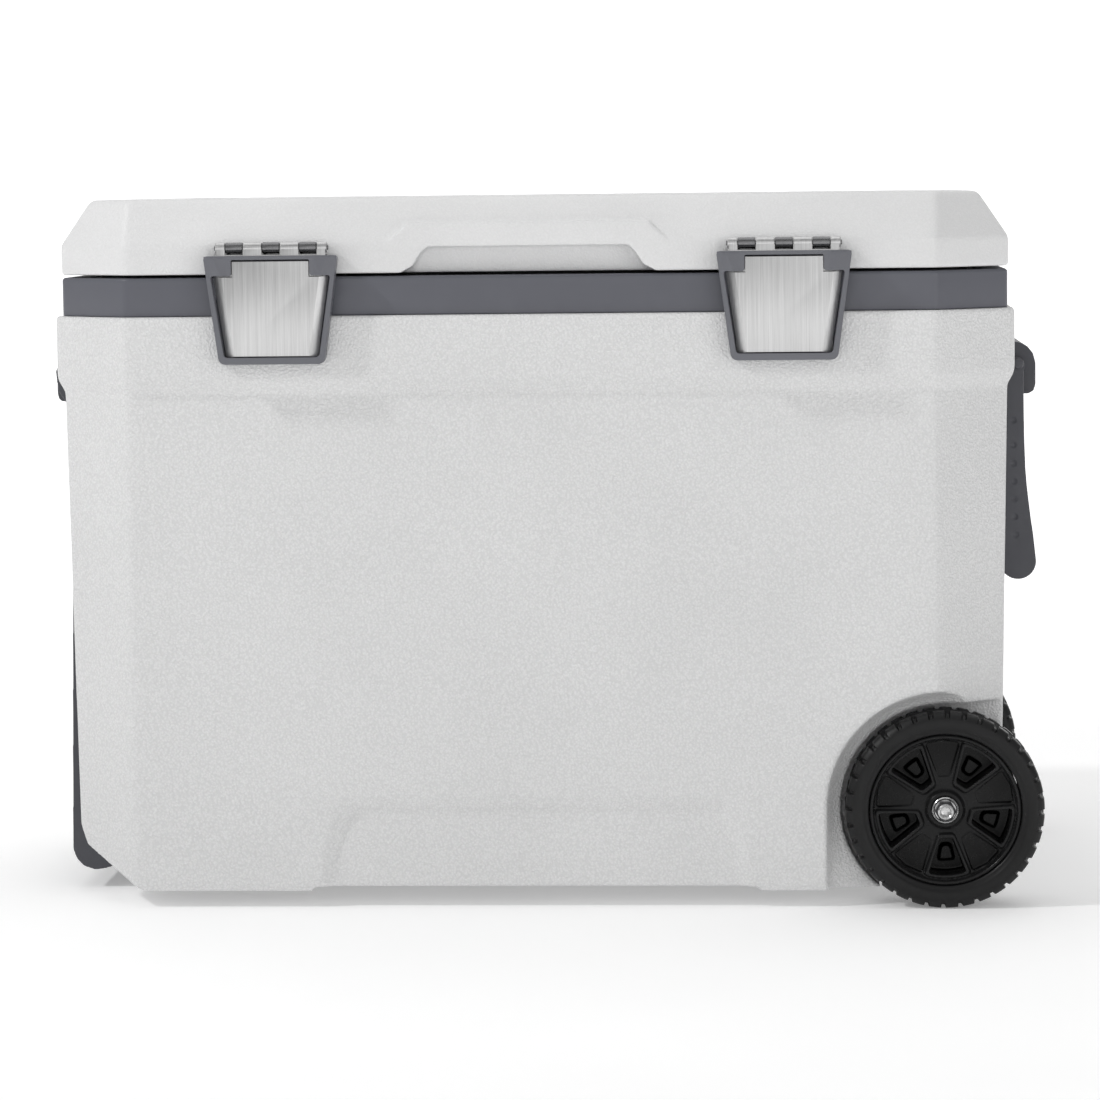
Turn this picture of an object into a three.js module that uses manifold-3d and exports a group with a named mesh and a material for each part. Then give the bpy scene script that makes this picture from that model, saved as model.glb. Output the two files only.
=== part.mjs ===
// Hard cooler on two wheels, millimetres, +Z up, +X towards the wheels, front towards -Y.
// The body frame has X = 0 at the middle of the tub and Z = 0 on the ground; the
// outermost group shifts it so that the origin is at the centre of the footprint.
import * as THREE from 'three';
import * as BufferGeometryUtils from 'three/addons/utils/BufferGeometryUtils.js';
import Module from 'manifold-3d';

const wasm = await Module();
wasm.setup();

// ---------------------------------------------------------------- driving dimensions
const HALF_L = 372;            // half length over the collar
const HALF_W = 215;            // half width over the collar
const FACET_X = 62;            // corner facet, along X
const FACET_Y = 52;            // corner facet, along Y
const Z_PAD = 12.5;            // underside of the end pads
const Z_BELLY = 16;            // underside between the pads
const Z_STEP0 = 400.8;         // lower edge of the collar step
const Z_STEP1 = 410.8;         // upper edge of the collar step
const Z_BODY = 460;            // top of the outer shell
const Z_BAND0 = 460.3;         // grey band
const Z_BAND1 = 489.8;
const Z_LID0 = 492;            // lid
const Z_CREASE = 514.8;
const Z_TOP = 549.8;
const LIFT = 2.8;               // latch and hinge frames sit this much above the ground frame
const STEP_IN = 7;             // lower body inside the collar
const WALL = 4;                // outer shell wall
const GAP = 0.3;               // between nested pieces
const WHEEL_X = 316.2;
const WHEEL_R = 76.2;
const WHEEL_W = 44;
const WHEEL_FACE = 210;        // outer face of each wheel, from the middle plane
const ARCH_R = 90;             // wheel well radius
const WELL_Y = 158;            // wheel well back plane
const AXLE_R = 6;
const LATCH_X = 195;           // latch centres
const LATCH_AXIS_Y = -217.4;
const LATCH_AXIS_Z = 509.5;
const HINGE_X = 215;           // rear hinge centres
const HINGE_AXIS_Y = 224;
const HINGE_AXIS_Z = 488.2;
const PIVOT_Z = 414;           // end handle pivots
const PIVOT_X = 377.4;
const ARM_IN = 92;             // end handle arms, from the middle plane
const ARM_OUT = 112;
const BRACKET_OUT_R = 392.4;   // outer face of the right handle bracket
const BRACKET_OUT_L = 385;     // outer face of the left handle bracket
const FOOT_X = -292;
const FOOT_Y = 70;
const DRAIN_Z = 80;
const SHIFT_X = -(BRACKET_OUT_R - BRACKET_OUT_L) / 2;

// ---------------------------------------------------------------- helpers
function solid(geo) {
  const g = geo.clone();
  g.deleteAttribute('normal');
  g.deleteAttribute('uv');
  const m = BufferGeometryUtils.mergeVertices(g, 1e-4);
  return new wasm.Manifold(new wasm.Mesh({
    numProp: 3,
    vertProperties: new Float32Array(m.attributes.position.array),
    triVerts: new Uint32Array(m.index.array),
  }));
}
function geometry(man) {
  const out = man.getMesh();
  const g = new THREE.BufferGeometry();
  const n = out.numProp;
  const src = out.vertProperties;
  const pos = new Float32Array((src.length / n) * 3);
  for (let i = 0; i < src.length / n; i++) {
    pos[3 * i] = src[n * i];
    pos[3 * i + 1] = src[n * i + 1];
    pos[3 * i + 2] = src[n * i + 2];
  }
  g.setAttribute('position', new THREE.BufferAttribute(pos, 3));
  g.setIndex(new THREE.BufferAttribute(new Uint32Array(out.triVerts), 1));
  g.computeVertexNormals();
  return g;
}
const outline = (pts) => new THREE.Shape(pts.map((p) => new THREE.Vector2(p[0], p[1])));

// Stack of horizontal sections with the same number of points, joined by straight walls.
function loft(levels) {
  const n = levels.length - 1;
  const base = levels[0].pts;
  const g = new THREE.ExtrudeGeometry(outline(base), { depth: n, steps: n, bevelEnabled: false });
  const pos = g.attributes.position;
  for (let i = 0; i < pos.count; i++) {
    const k = Math.round(pos.getZ(i));
    let best = 0;
    let d = Infinity;
    for (let j = 0; j < base.length; j++) {
      const e = (base[j][0] - pos.getX(i)) ** 2 + (base[j][1] - pos.getY(i)) ** 2;
      if (e < d) { d = e; best = j; }
    }
    pos.setXYZ(i, levels[k].pts[best][0], levels[k].pts[best][1], levels[k].z);
  }
  return g;
}
// Outline in X,Z extruded along Y.
function alongY(pts, y0, y1) {
  const g = new THREE.ExtrudeGeometry(outline(pts), { depth: y1 - y0, bevelEnabled: false });
  g.rotateX(Math.PI / 2);
  g.translate(0, y1, 0);
  return g;
}
// Outline in Y,Z extruded along X.
function alongX(pts, x0, x1) {
  const g = new THREE.ExtrudeGeometry(outline(pts), { depth: x1 - x0, bevelEnabled: false });
  g.applyMatrix4(new THREE.Matrix4().set(0, 0, 1, x0, 1, 0, 0, 0, 0, 1, 0, 0, 0, 0, 0, 1));
  return g;
}
function block(x0, x1, y0, y1, z0, z1) {
  const g = new THREE.BoxGeometry(x1 - x0, y1 - y0, z1 - z0);
  g.translate((x0 + x1) / 2, (y0 + y1) / 2, (z0 + z1) / 2);
  return g;
}
function rodX(r, x0, x1, y, z, seg = 24) {
  const g = new THREE.CylinderGeometry(r, r, x1 - x0, seg);
  g.rotateZ(-Math.PI / 2);
  g.translate((x0 + x1) / 2, y, z);
  return g;
}
function rodY(r, y0, y1, x, z, seg = 24) {
  const g = new THREE.CylinderGeometry(r, r, y1 - y0, seg);
  g.translate(x, (y0 + y1) / 2, z);
  return g;
}
// Profile (radius, distance along the axis) turned about +Z.
function turned(profile, seg) {
  const g = new THREE.LatheGeometry(profile.map((p) => new THREE.Vector2(p[0], p[1])), seg);
  g.rotateX(Math.PI / 2);
  return g;
}
function rounded(hx, hy, r, n = 4) {
  const pts = [];
  for (const [cx, cy, a0] of [[hx - r, -hy + r, -90], [hx - r, hy - r, 0], [-hx + r, hy - r, 90], [-hx + r, -hy + r, 180]]) {
    for (let i = 0; i <= n; i++) {
      const a = ((a0 + (90 * i) / n) * Math.PI) / 180;
      pts.push([cx + r * Math.cos(a), cy + r * Math.sin(a)]);
    }
  }
  return pts;
}
// Eight-sided plan of the cooler, moved in by dx at the ends, dy at the front and back, df at the facets;
// left out, df keeps the front edge of the facets at the same X.
const F_LEN = Math.hypot(FACET_X, FACET_Y);
const NX = FACET_Y / F_LEN;
const NY = FACET_X / F_LEN;
const F_C = NX * (HALF_L - FACET_X) + NY * HALF_W;
function plan(dx, dy = dx, df = dy * NY) {
  const hx = HALF_L - dx;
  const hy = HALF_W - dy;
  const c = F_C - df;
  const x1 = (c - NY * hy) / NX;
  const y1 = (c - NX * hx) / NY;
  return [[x1, -hy], [hx, -y1], [hx, y1], [x1, hy], [-x1, hy], [-hx, y1], [-hx, -y1], [-x1, -hy]];
}
const material = (color, roughness, metalness) => new THREE.MeshStandardMaterial({ color, roughness, metalness });
const WHITE = () => material(0xdcdcdc, 0.55, 0);
const GREY = () => material(0x5a5a62, 0.45, 0);
const DARK = () => material(0x46464d, 0.5, 0);
const STEEL = () => material(0xc4c4c2, 0.3, 1);
const BLACK = () => material(0x202022, 0.6, 0);
const FOAM = () => material(0xe8dfc0, 0.9, 0);
function mesh(name, geo, mat) {
  const m = new THREE.Mesh(geo, mat);
  m.name = name;
  return m;
}

// ---------------------------------------------------------------- cut-outs shared by shell and foam
const archOutline = (o) => {
  const r = ARCH_R + o;
  const pts = [[WHEEL_X - r, -5]];
  for (let i = 0; i <= 12; i++) {
    const a = Math.PI - (i / 12) * (Math.PI * 0.5);
    pts.push([WHEEL_X + r * Math.cos(a), WHEEL_R + r * Math.sin(a)]);
  }
  pts.push([HALF_L + 30, WHEEL_R + r]);
  pts.push([HALF_L + 30, -5]);
  return pts;
};
const wells = (o) => [
  solid(alongY(archOutline(o), -HALF_W - 10, -WELL_Y + o)),
  solid(alongY(archOutline(o), WELL_Y - o, HALF_W + 10)),
];
// Corner chamfer under the left end.
const heel = (o) => solid(alongY([[-HALF_L - 30, -5], [-306 + o, -5], [-306 + o, Z_PAD - 0.01 + o * 0.3], [-355.5 + o * 0.6, 44 + o * 0.8], [-364 + o * 0.8, 66 + o * 0.6], [-HALF_L - 30, 106 + o]], -HALF_W - 10, HALF_W + 10));
// Pocket for the long handle in the left end.
const pocket = (o) => solid(loft([
  { z: -5, pts: [[-HALF_L - 20, -118 - o], [-352 + o, -116 - o], [-352 + o, 116 + o], [-HALF_L - 20, 118 + o]] },
  { z: 394.8 + o, pts: [[-HALF_L - 20, -118 - o], [-352 + o, -116 - o], [-352 + o, 116 + o], [-HALF_L - 20, 118 + o]] },
  { z: 405.8 + o, pts: [[-HALF_L - 20, -118 - o], [-366 + o, -117 - o], [-366 + o, 117 + o], [-HALF_L - 20, 118 + o]] },
]));
// Shallow tapered recess low on the front and on the back.
const skirt = (sign, o) => {
  const y0 = sign * (HALF_W + 5);
  const deep = sign * (197 - o);
  const wide = sign * (206 - o);
  const g = loft([
    { z: -5, pts: [[-207 - o, y0], [-158 - o, deep], [158 + o, deep], [207 + o, y0]] },
    { z: 78 + o, pts: [[-188 - o, y0], [-136 - o, deep], [136 + o, deep], [188 + o, y0]] },
    { z: 91 + o, pts: [[-182 - o, y0], [-130 - o, wide], [130 + o, wide], [182 + o, y0]] },
  ].map((l) => ({ z: l.z, pts: sign < 0 ? l.pts : l.pts.slice().reverse() })));
  return solid(g);
};
const axleBore = () => solid(rodY(AXLE_R + 0.4, -HALF_W, HALF_W, WHEEL_X, WHEEL_R, 20));
const drainBore = (r) => solid(rodX(r, -HALF_L, -300, 0, DRAIN_Z, 24));

// ---------------------------------------------------------------- outer shell
let shell = solid(loft([
  { z: Z_PAD, pts: plan(18, 17.5, 11.8) },
  { z: Z_PAD + 5, pts: plan(13, 12.5, 8) },
  { z: Z_STEP0, pts: plan(STEP_IN) },
  { z: Z_STEP1, pts: plan(0) },
  { z: Z_BODY, pts: plan(0) },
]));
shell = shell.subtract(solid(block(-174, 174, -HALF_W - 5, HALF_W + 5, -5, Z_BELLY)));
for (const w of wells(0)) shell = shell.subtract(w);
shell = shell.subtract(heel(0)).subtract(pocket(0)).subtract(skirt(-1, 0)).subtract(skirt(1, 0));

function cavity(wall) {
  let c = solid(loft([
    { z: Z_BELLY + wall, pts: plan(13 + wall, 12.5 + wall, 8 + wall) },
    { z: Z_STEP0 + 2, pts: plan(STEP_IN + wall) },
    { z: Z_STEP1 + 2, pts: plan(wall) },
    { z: Z_BODY + 1, pts: plan(wall) },
  ]));
  for (const w of wells(wall)) c = c.subtract(w);
  return c.subtract(heel(wall * 1.3)).subtract(pocket(wall)).subtract(skirt(-1, wall)).subtract(skirt(1, wall));
}
shell = shell.subtract(cavity(WALL)).subtract(axleBore()).subtract(drainBore(11.3));

// ---------------------------------------------------------------- liner with stepped floor
const TUB_IN = 46;             // inner wall, inside the collar outline
const TUB_FLOOR = 66;
const TUB_SHELF = 190;
const TUB_SHELF_X = 208;
const LINER = 3;
function tub(o, zTop) {
  const d = TUB_IN - o;
  let t = solid(loft([
    { z: TUB_FLOOR - o, pts: plan(d + 14, d + 13, d + 10) },
    { z: TUB_FLOOR + 16, pts: plan(d + 6, d + 6, d + 3) },
    { z: zTop, pts: plan(d, d, d - 3) },
  ]));
  t = t.subtract(solid(block(TUB_SHELF_X + o, HALF_L, -HALF_W, HALF_W, 0, TUB_SHELF - o)));
  return t;
}
const FLANGE_D = 31;           // the liner's flange reaches out to the band
let liner = tub(LINER, Z_BAND1).add(solid(loft([
  { z: Z_BAND1 - 3, pts: plan(FLANGE_D + GAP) },
  { z: Z_BAND1, pts: plan(FLANGE_D + GAP) },
]))).subtract(tub(0, Z_BAND1 + 5)).subtract(drainBore(11.3));

// ---------------------------------------------------------------- foam between shell and liner
let foam = cavity(WALL + GAP).subtract(solid(block(-HALF_L, HALF_L, -HALF_W, HALF_W, Z_BAND0 - 0.6, Z_BODY + 20)))
  .add(solid(loft([
    { z: Z_BAND0 - 2, pts: plan(FLANGE_D + 0.6) },
    { z: Z_BAND1 - 3.3, pts: plan(FLANGE_D + 0.6) },
  ])))
  .subtract(tub(LINER + GAP, Z_BAND1 + 5)).subtract(axleBore()).subtract(drainBore(11.3));

// ---------------------------------------------------------------- band round the rim
const band = solid(loft([
  { z: Z_BAND0, pts: plan(5.5) },
  { z: Z_BAND1 - 1.5, pts: plan(5.5) },
  { z: Z_BAND1, pts: plan(7) },
])).subtract(solid(loft([{ z: Z_BAND0 - 1, pts: plan(FLANGE_D) }, { z: Z_BAND1 + 1, pts: plan(FLANGE_D) }])));

// ---------------------------------------------------------------- lid
const LID_D = 4.8;
const LID_TOP_D = 28.5;
let lidShell = solid(loft([
  { z: Z_LID0, pts: plan(LID_D) },
  { z: Z_CREASE, pts: plan(LID_D) },
  { z: Z_TOP, pts: plan(LID_TOP_D) },
]));
// raised pad round the finger recess
const padFace = -(HALF_W - LID_D);
lidShell = lidShell.add(solid(loft([
  { z: Z_CREASE - 2, pts: [[-106, padFace], [106, padFace], [106, padFace + 22], [-106, padFace + 22]] },
  { z: Z_CREASE + 2, pts: [[-106, padFace], [106, padFace], [106, padFace + 22], [-106, padFace + 22]] },
  { z: 530.4, pts: [[-92, padFace + 1.5], [92, padFace + 1.5], [92, padFace + 22], [-92, padFace + 22]] },
])));
// finger recess, open below
const notch = (o) => solid(alongY([[-100 - o, Z_LID0 - 10], [100 + o, Z_LID0 - 10], [96 + o, Z_LID0 + 1], [88 + o, Z_LID0 + 5], [82 + o, 506.6 + o], [76, 512 + o], [-76, 512 + o], [-82 - o, 506.6 + o], [-88 - o, Z_LID0 + 5], [-96 - o, Z_LID0 + 1]], -HALF_W - 10, -196 + o));
lidShell = lidShell.subtract(notch(0));
// shallow tray in the top
lidShell = lidShell.subtract(solid(loft([
  { z: Z_TOP - 3, pts: rounded(300, 142, 26) },
  { z: Z_TOP + 1, pts: rounded(303, 145, 29) },
])));
const lidCavity = (o, z0) => solid(loft([
  { z: z0, pts: plan(LID_D + o) },
  { z: Z_CREASE - 1, pts: plan(LID_D + o) },
  { z: Z_TOP - 3 - o, pts: plan(LID_TOP_D + o - 1) },
])).subtract(notch(o));
lidShell = lidShell.subtract(lidCavity(3.5, Z_LID0 - 1));
const lidFoam = lidCavity(3.5 + GAP, Z_LID0 + 3.3);
// lower panel of the lid with the plug that enters the tub
let lidLiner = lidCavity(3.5 + GAP, Z_LID0).subtract(solid(block(-HALF_L, HALF_L, -HALF_W, HALF_W, Z_LID0 + 3, Z_TOP)))
  .add(solid(loft([
    { z: Z_LID0 - 13, pts: plan(TUB_IN + 12, TUB_IN + 12, TUB_IN + 8) },
    { z: Z_LID0 - 8, pts: plan(TUB_IN + 7, TUB_IN + 7, TUB_IN + 3) },
    { z: Z_LID0 + 1, pts: plan(TUB_IN + 6, TUB_IN + 6, TUB_IN + 2) },
  ])));
// seal between the lid panel and the liner flange
const gasket = solid(loft([
  { z: Z_BAND1 + 0.3, pts: plan(FLANGE_D + 4) },
  { z: Z_LID0 - 0.3, pts: plan(FLANGE_D + 5) },
])).subtract(solid(loft([
  { z: Z_BAND1 - 1, pts: plan(FLANGE_D + 12) },
  { z: Z_LID0 + 1, pts: plan(FLANGE_D + 12) },
])));

// ---------------------------------------------------------------- latch
// Local frame: X = 0 at the latch centre, Y as in the body frame, Z from LIFT above the ground.
const BAR_R = 4.2;
const PIN_R = 2;
// knuckles: the moving leaf takes the 1st, 3rd, 5th and 7th, the fixed leaf the others
function knuckleStrip(parts, fixed) {
  let m = null;
  for (const [a, b] of parts) {
    const k = solid(rodX(BAR_R, a, b, LATCH_AXIS_Y, LATCH_AXIS_Z, 14));
    m = m ? m.add(k) : k;
  }
  return m;
}
const STRIP = 42.7;
const FIX = [[-34.8, -21.7], [-6.6, 6.6], [21.7, 34.8]];
const MOV = [[-STRIP, -35.2], [-21.3, -7], [7, 21.3], [35.2, STRIP]];
const LEAF_BACK = -(HALF_W - LID_D) - GAP;
// fixed leaf: flat on the lid's front face, knuckles at its top
let latchLeaf = solid(alongX([[LEAF_BACK, 493], [LEAF_BACK, LATCH_AXIS_Z], [LEAF_BACK - 1.8, LATCH_AXIS_Z], [LEAF_BACK - 1.8, 493]].reverse(), -41.8, 41.8));
for (const [a, b] of MOV) latchLeaf = latchLeaf.subtract(solid(block(a - 0.4, b + 0.4, LATCH_AXIS_Y - 9, LEAF_BACK + 1, LATCH_AXIS_Z - BAR_R - 1, LATCH_AXIS_Z + 9)));
for (const [a, b] of FIX) {
  latchLeaf = latchLeaf.add(solid(rodX(BAR_R, a, b, LATCH_AXIS_Y, LATCH_AXIS_Z, 14)));
  latchLeaf = latchLeaf.add(solid(block(a, b, LATCH_AXIS_Y, LEAF_BACK - 0.01, LATCH_AXIS_Z - 3.2, LATCH_AXIS_Z + 1)));
}
latchLeaf = latchLeaf.subtract(solid(rodX(PIN_R + 0.1, -70, 70, LATCH_AXIS_Y, LATCH_AXIS_Z, 14)));
const latchPin = solid(rodX(PIN_R, -43.7, 43.7, LATCH_AXIS_Y, LATCH_AXIS_Z, 14));

// moving plate: knuckles, a flat neck behind the bezel's top bar, then a raised pan with sloped sides
const PLATE_Y = -226.2;
const NECK_Y = LATCH_AXIS_Y - BAR_R + 0.1;
let latchPlate = solid(alongX([[NECK_Y + 1.6, LATCH_AXIS_Z - 1], [NECK_Y, LATCH_AXIS_Z - 1], [NECK_Y, 486], [NECK_Y + 1.6, 486]], -41.8, 41.8));
for (const [a, b] of FIX) latchPlate = latchPlate.subtract(solid(block(a - 0.4, b + 0.4, LATCH_AXIS_Y - 9, LATCH_AXIS_Y + 9, LATCH_AXIS_Z - BAR_R - 1, LATCH_AXIS_Z + 9)));
for (const [a, b] of MOV) latchPlate = latchPlate.add(solid(rodX(BAR_R, a, b, LATCH_AXIS_Y, LATCH_AXIS_Z, 14)));
latchPlate = latchPlate.subtract(solid(rodX(PIN_R + 0.1, -70, 70, LATCH_AXIS_Y, LATCH_AXIS_Z, 14)));
// pan: outline of the front panel and of its foot, 5 mm lower
const panFront = [[-29.3, 499.2], [-29.3, 487.4], [-37.2, 487.4], [-28.4, 427.2], [28.4, 427.2], [37.2, 487.4], [29.3, 487.4], [29.3, 499.2]];
const panFoot = [[-29.3, 501], [-29.3, 487.9], [-44, 487.9], [-35, 426], [35, 426], [44, 487.9], [29.3, 487.9], [29.3, 501]];
function pan(oFront, oFoot, yFront, yFoot) {
  const g = loft([
    { z: 0, pts: oFoot },
    { z: 1, pts: oFront },
  ]);
  // local X,Y,Z -> X, Z, depth
  const p = g.attributes.position;
  for (let i = 0; i < p.count; i++) {
    const x = p.getX(i);
    const z = p.getY(i);
    const k = p.getZ(i);
    p.setXYZ(i, x, k > 0.5 ? yFront : yFoot, z);
  }
  return g;
}
const panSolid = solid(pan(panFront, panFoot, PLATE_Y, NECK_Y));
const shrink = (pts, s) => pts.map(([x, z]) => [x - Math.sign(x) * s, z > 500 ? z - s : z < 430 ? z + s : z]);
const panHollow = solid(pan(shrink(panFront, 1.6), shrink(panFoot, 1.6), PLATE_Y + 1.4, NECK_Y + 0.4));
latchPlate = latchPlate.add(panSolid).subtract(solid(block(-43, 43, NECK_Y, LATCH_AXIS_Y + 20, 400, 485)).intersect(solid(block(-60, 60, -260, -200, 400, 485)))).subtract(panHollow.intersect(solid(block(-60, 60, -260, -200, 400, 486))));

// bezel: tapered frame round the pan, with a hook under the keeper
const bezelOut = [[-50.2, 503.2], [-39.2, 424.5], [-36, 421], [36, 421], [39.2, 424.5], [50.2, 503.2]];
let bezel = solid(alongY(bezelOut, -228.6, -215.9));
bezel = bezel.subtract(solid(pan(
  [[-29.7, 499.6], [-29.7, 487.8], [-45.2, 487.8], [-35.6, 426.8], [35.6, 426.8], [45.2, 487.8], [29.7, 487.8], [29.7, 499.6]],
  [[-29.7, 501.4], [-29.7, 488.3], [-45.2, 488.3], [-36, 425.6], [36, 425.6], [45.2, 488.3], [29.7, 488.3], [29.7, 501.4]], -232, -219.9)));
// room behind the plate for the keeper, the fixed leaf and the lid's face
bezel = bezel.subtract(solid(block(-36.6, 36.6, -221.3, -200, 427, 488)));
bezel = bezel.subtract(solid(block(-44.4, 44.4, NECK_Y - 0.3, -200, 485.6, 520)));
bezel = bezel.subtract(solid(block(-45.4, 45.4, NECK_Y - 0.3, -200, 470, 488)));

// keeper on the collar with two screws
let keeper = solid(alongX([[-215.3, 428.6], [-215.3, 449], [-217.3, 449], [-219.6, 440], [-219.6, 428.6]].reverse(), -26, 26));
const keeperHole = (x) => solid(rodY(2.1, -225, -210, x, 443.5, 12)).add(solid(rodY(3.9, -225, -217.1, x, 443.5, 12)));
keeper = keeper.subtract(keeperHole(-17)).subtract(keeperHole(17));
function screw(headR, headH, shankR, length) {
  return turned([[0, 0], [shankR, 0], [shankR, length], [headR, length + headH * 0.4], [headR, length + headH], [0, length + headH]], 12);
}

// ---------------------------------------------------------------- rear hinge
// Local frame: X = 0 at the hinge centre, Z from LIFT above the ground.
const HB = 4.6;
const HSEG = [[-45, -27.4], [-27, -9.2], [-8.8, 8.8], [9.2, 27], [27.4, 45]];
function hingeLeaf(pts, own, other) {
  let m = solid(alongX(pts, -45, 45));
  for (const i of other) m = m.subtract(solid(block(HSEG[i][0] - 0.4, HSEG[i][1] + 0.4, HINGE_AXIS_Y - HB - 0.5, 260, HINGE_AXIS_Z - HB - 0.5, HINGE_AXIS_Z + HB + 0.5)));
  for (const i of own) m = m.add(solid(rodX(HB, HSEG[i][0], HSEG[i][1], HINGE_AXIS_Y, HINGE_AXIS_Z, 16)));
  return m.subtract(solid(rodX(2.4, -60, 60, HINGE_AXIS_Y, HINGE_AXIS_Z, 16)));
}
const backLid = HALF_W - LID_D + GAP;
const hingeLidLeaf = hingeLeaf([[backLid, 490], [backLid + 4, 489.2], [HINGE_AXIS_Y - 1, 489.2], [HINGE_AXIS_Y + 1, 492], [backLid + 5, 498], [backLid + 3, 511], [backLid, 511]], [1, 3], [0, 2, 4]);
const hingeBodyLeaf = hingeLeaf([[HALF_W + GAP, 456], [HALF_W + GAP, 432], [HALF_W + 3.4, 432], [HALF_W + 5, 470], [HINGE_AXIS_Y + 1, 484.5], [HINGE_AXIS_Y - 1, 486.8], [backLid + 0.8, 486.8], [backLid + 0.8, 457.8], [HALF_W + GAP, 457.8]], [0, 2, 4], [1, 3]);
const hingePin = solid(rodX(2.3, -46.5, 46.5, HINGE_AXIS_Y, HINGE_AXIS_Z, 16));

// ---------------------------------------------------------------- wheel, local frame: axis +Z outwards, Z = 0 at the inner face
const tyreGeo = () => turned([
  [58.6, 5], [62, 2.5], [68, 0.5], [73, 2.4], [WHEEL_R, 7], [WHEEL_R, WHEEL_W - 7], [73, WHEEL_W - 2.4],
  [68, WHEEL_W - 0.5], [62, WHEEL_W - 2.5], [58.6, WHEEL_W - 5], [58.6, 5],
], 36);
let rim = solid(turned([[0, 4], [58.2, 4], [58.2, 40], [54, 40], [51, 34], [51, 22], [14, 22], [14, 37], [0, 37]], 36));
for (let k = 0; k < 5; k++) {
  const a0 = ((56 + 72 * k - 15) * Math.PI) / 180;
  const a1 = ((56 + 72 * k + 15) * Math.PI) / 180;
  const pts = [];
  for (let i = 0; i <= 4; i++) { const a = a0 + ((a1 - a0) * i) / 4; pts.push([48.5 * Math.cos(a), 48.5 * Math.sin(a)]); }
  const b0 = ((56 + 72 * k + 12) * Math.PI) / 180;
  const b1 = ((56 + 72 * k - 12) * Math.PI) / 180;
  pts.push([22 * Math.cos(b0), 22 * Math.sin(b0)], [22 * Math.cos(b1), 22 * Math.sin(b1)]);
  const w = new THREE.ExtrudeGeometry(outline(pts), { depth: 60, bevelEnabled: false });
  w.translate(0, 0, 10);
  rim = rim.subtract(solid(w));
}
for (let k = 0; k < 10; k++) {
  const a = ((56 + 36 * k - 18) * Math.PI) / 180;
  const rib = new THREE.BoxGeometry(41, 6, 14);
  rib.translate(32, 0, 28);
  rib.rotateZ(a);
  rim = rim.add(solid(rib));
}
const axial = (r, z0, z1, seg = 20) => { const g = new THREE.CylinderGeometry(r, r, z1 - z0, seg); g.rotateX(Math.PI / 2); g.translate(0, 0, (z0 + z1) / 2); return g; };
rim = rim.subtract(solid(axial(9.3, -5, 60)));
const bushing = solid(axial(9, 2, 38.2)).subtract(solid(axial(AXLE_R + 0.3, -5, 60)));
const washer = solid(axial(10.2, 38.6, 40.4)).subtract(solid(axial(AXLE_R + 0.1, 0, 60)));
const nutHex = new THREE.CylinderGeometry(8.2, 8.2, 5.2, 6);
nutHex.rotateX(Math.PI / 2);
nutHex.translate(0, 0, 40.8 + 2.6);
const nut = solid(nutHex).subtract(solid(axial(AXLE_R + 0.1, 0, 60)));

// ---------------------------------------------------------------- end handles, local frame: +X outwards, X as in the body frame
function bracketProfile(out) {
  const w = out - 372.3;
  return [[372.3, 389.7], [372.3 + w * 0.72, 389.7], [372.3 + w * 0.92, 392], [out, 397], [out, 414], [372.3 + w * 0.9, 421.5], [372.3 + w * 0.68, 427], [372.3 + w * 0.36, 430.3], [372.3, 431.1]];
}
function bracket(out) {
  let b = solid(alongY(bracketProfile(out), -(ARM_IN - 0.6), ARM_IN - 0.6));
  b = b.subtract(solid(rodY(2.4, -(ARM_IN + 5), -70, PIVOT_X, PIVOT_Z, 12))).subtract(solid(rodY(2.4, 70, ARM_IN + 5, PIVOT_X, PIVOT_Z, 12)));
  for (const y of [-45, 45]) b = b.subtract(solid(rodX(2.4, 360, 400, y, 408, 12))).subtract(solid(rodX(4.6, out - 4, 410, y, 408, 12)));
  return b;
}
const arc = (cx, cz, r, a0, a1, n) => Array.from({ length: n + 1 }, (_, i) => {
  const a = ((a0 + ((a1 - a0) * i) / n) * Math.PI) / 180;
  return [cx + r * Math.cos(a), cz + r * Math.sin(a)];
});
const EYE_R = 4.9;
function handle(armPts, barPts) {
  let h = solid(alongY(armPts, -ARM_OUT, -ARM_IN)).add(solid(alongY(armPts, ARM_IN, ARM_OUT))).add(solid(alongY(barPts, -ARM_IN - 2, ARM_IN + 2)));
  return h.subtract(solid(rodY(2.6, -ARM_OUT - 5, ARM_OUT + 5, PIVOT_X, PIVOT_Z, 12)));
}
// short lifting handle, at rest hanging down
const GRIP_X = 377.4;
const GRIP_Z = 259;
const carryArm = [
  [366.4, 397], [365.4, 330], [363.2, 262], ...arc(GRIP_X, GRIP_Z, 14.2, 190, 360, 10),
  [389.2, 281], [385.8, 306], [383.2, 333], [382.2, 360], [381.8, 396], [PIVOT_X + EYE_R, PIVOT_Z],
  ...arc(PIVOT_X, PIVOT_Z, EYE_R, 20, 180, 7), [372.5, 406.5],
];
const carryBar = arc(GRIP_X, GRIP_Z, 12.4, 0, 345, 15);
const carryHandle = handle(carryArm, carryBar);
// long tow handle, at rest hanging in the pocket of the left end (drawn with +X outwards, then mirrored)
const towArm = [
  [366.4, 399.4], [358.5, 391], [355.6, 382], [355.6, 300], [357.4, 60], [354, 42.5], [348, 35], [342, 30.5], [339, 26], [341, 20], [347, 16.8], [353.5, 15.2], [360, 14.7],
  [368.8, 17.8], [374.2, 24], [377, 31.5], [376.4, 60], [375.2, 120], [373.4, 200], [371.4, 300], [370.6, 378], [372, 385], [375.6, 391.5], [380.5, 399], [PIVOT_X + EYE_R, PIVOT_Z],
  ...arc(PIVOT_X, PIVOT_Z, EYE_R, 20, 180, 7), [372.5, 407],
];
const towBar = [[357, 56], [354, 42.5], [348, 35], [342, 30.5], [339, 26], [341, 20], [347, 16.8], [353.5, 15.2], [360, 14.7], [368.8, 17.8], [374.2, 24], [377, 31.5], [376.8, 44], [373.5, 52], [366, 57]];
const towHandle = handle(towArm, towBar);
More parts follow.
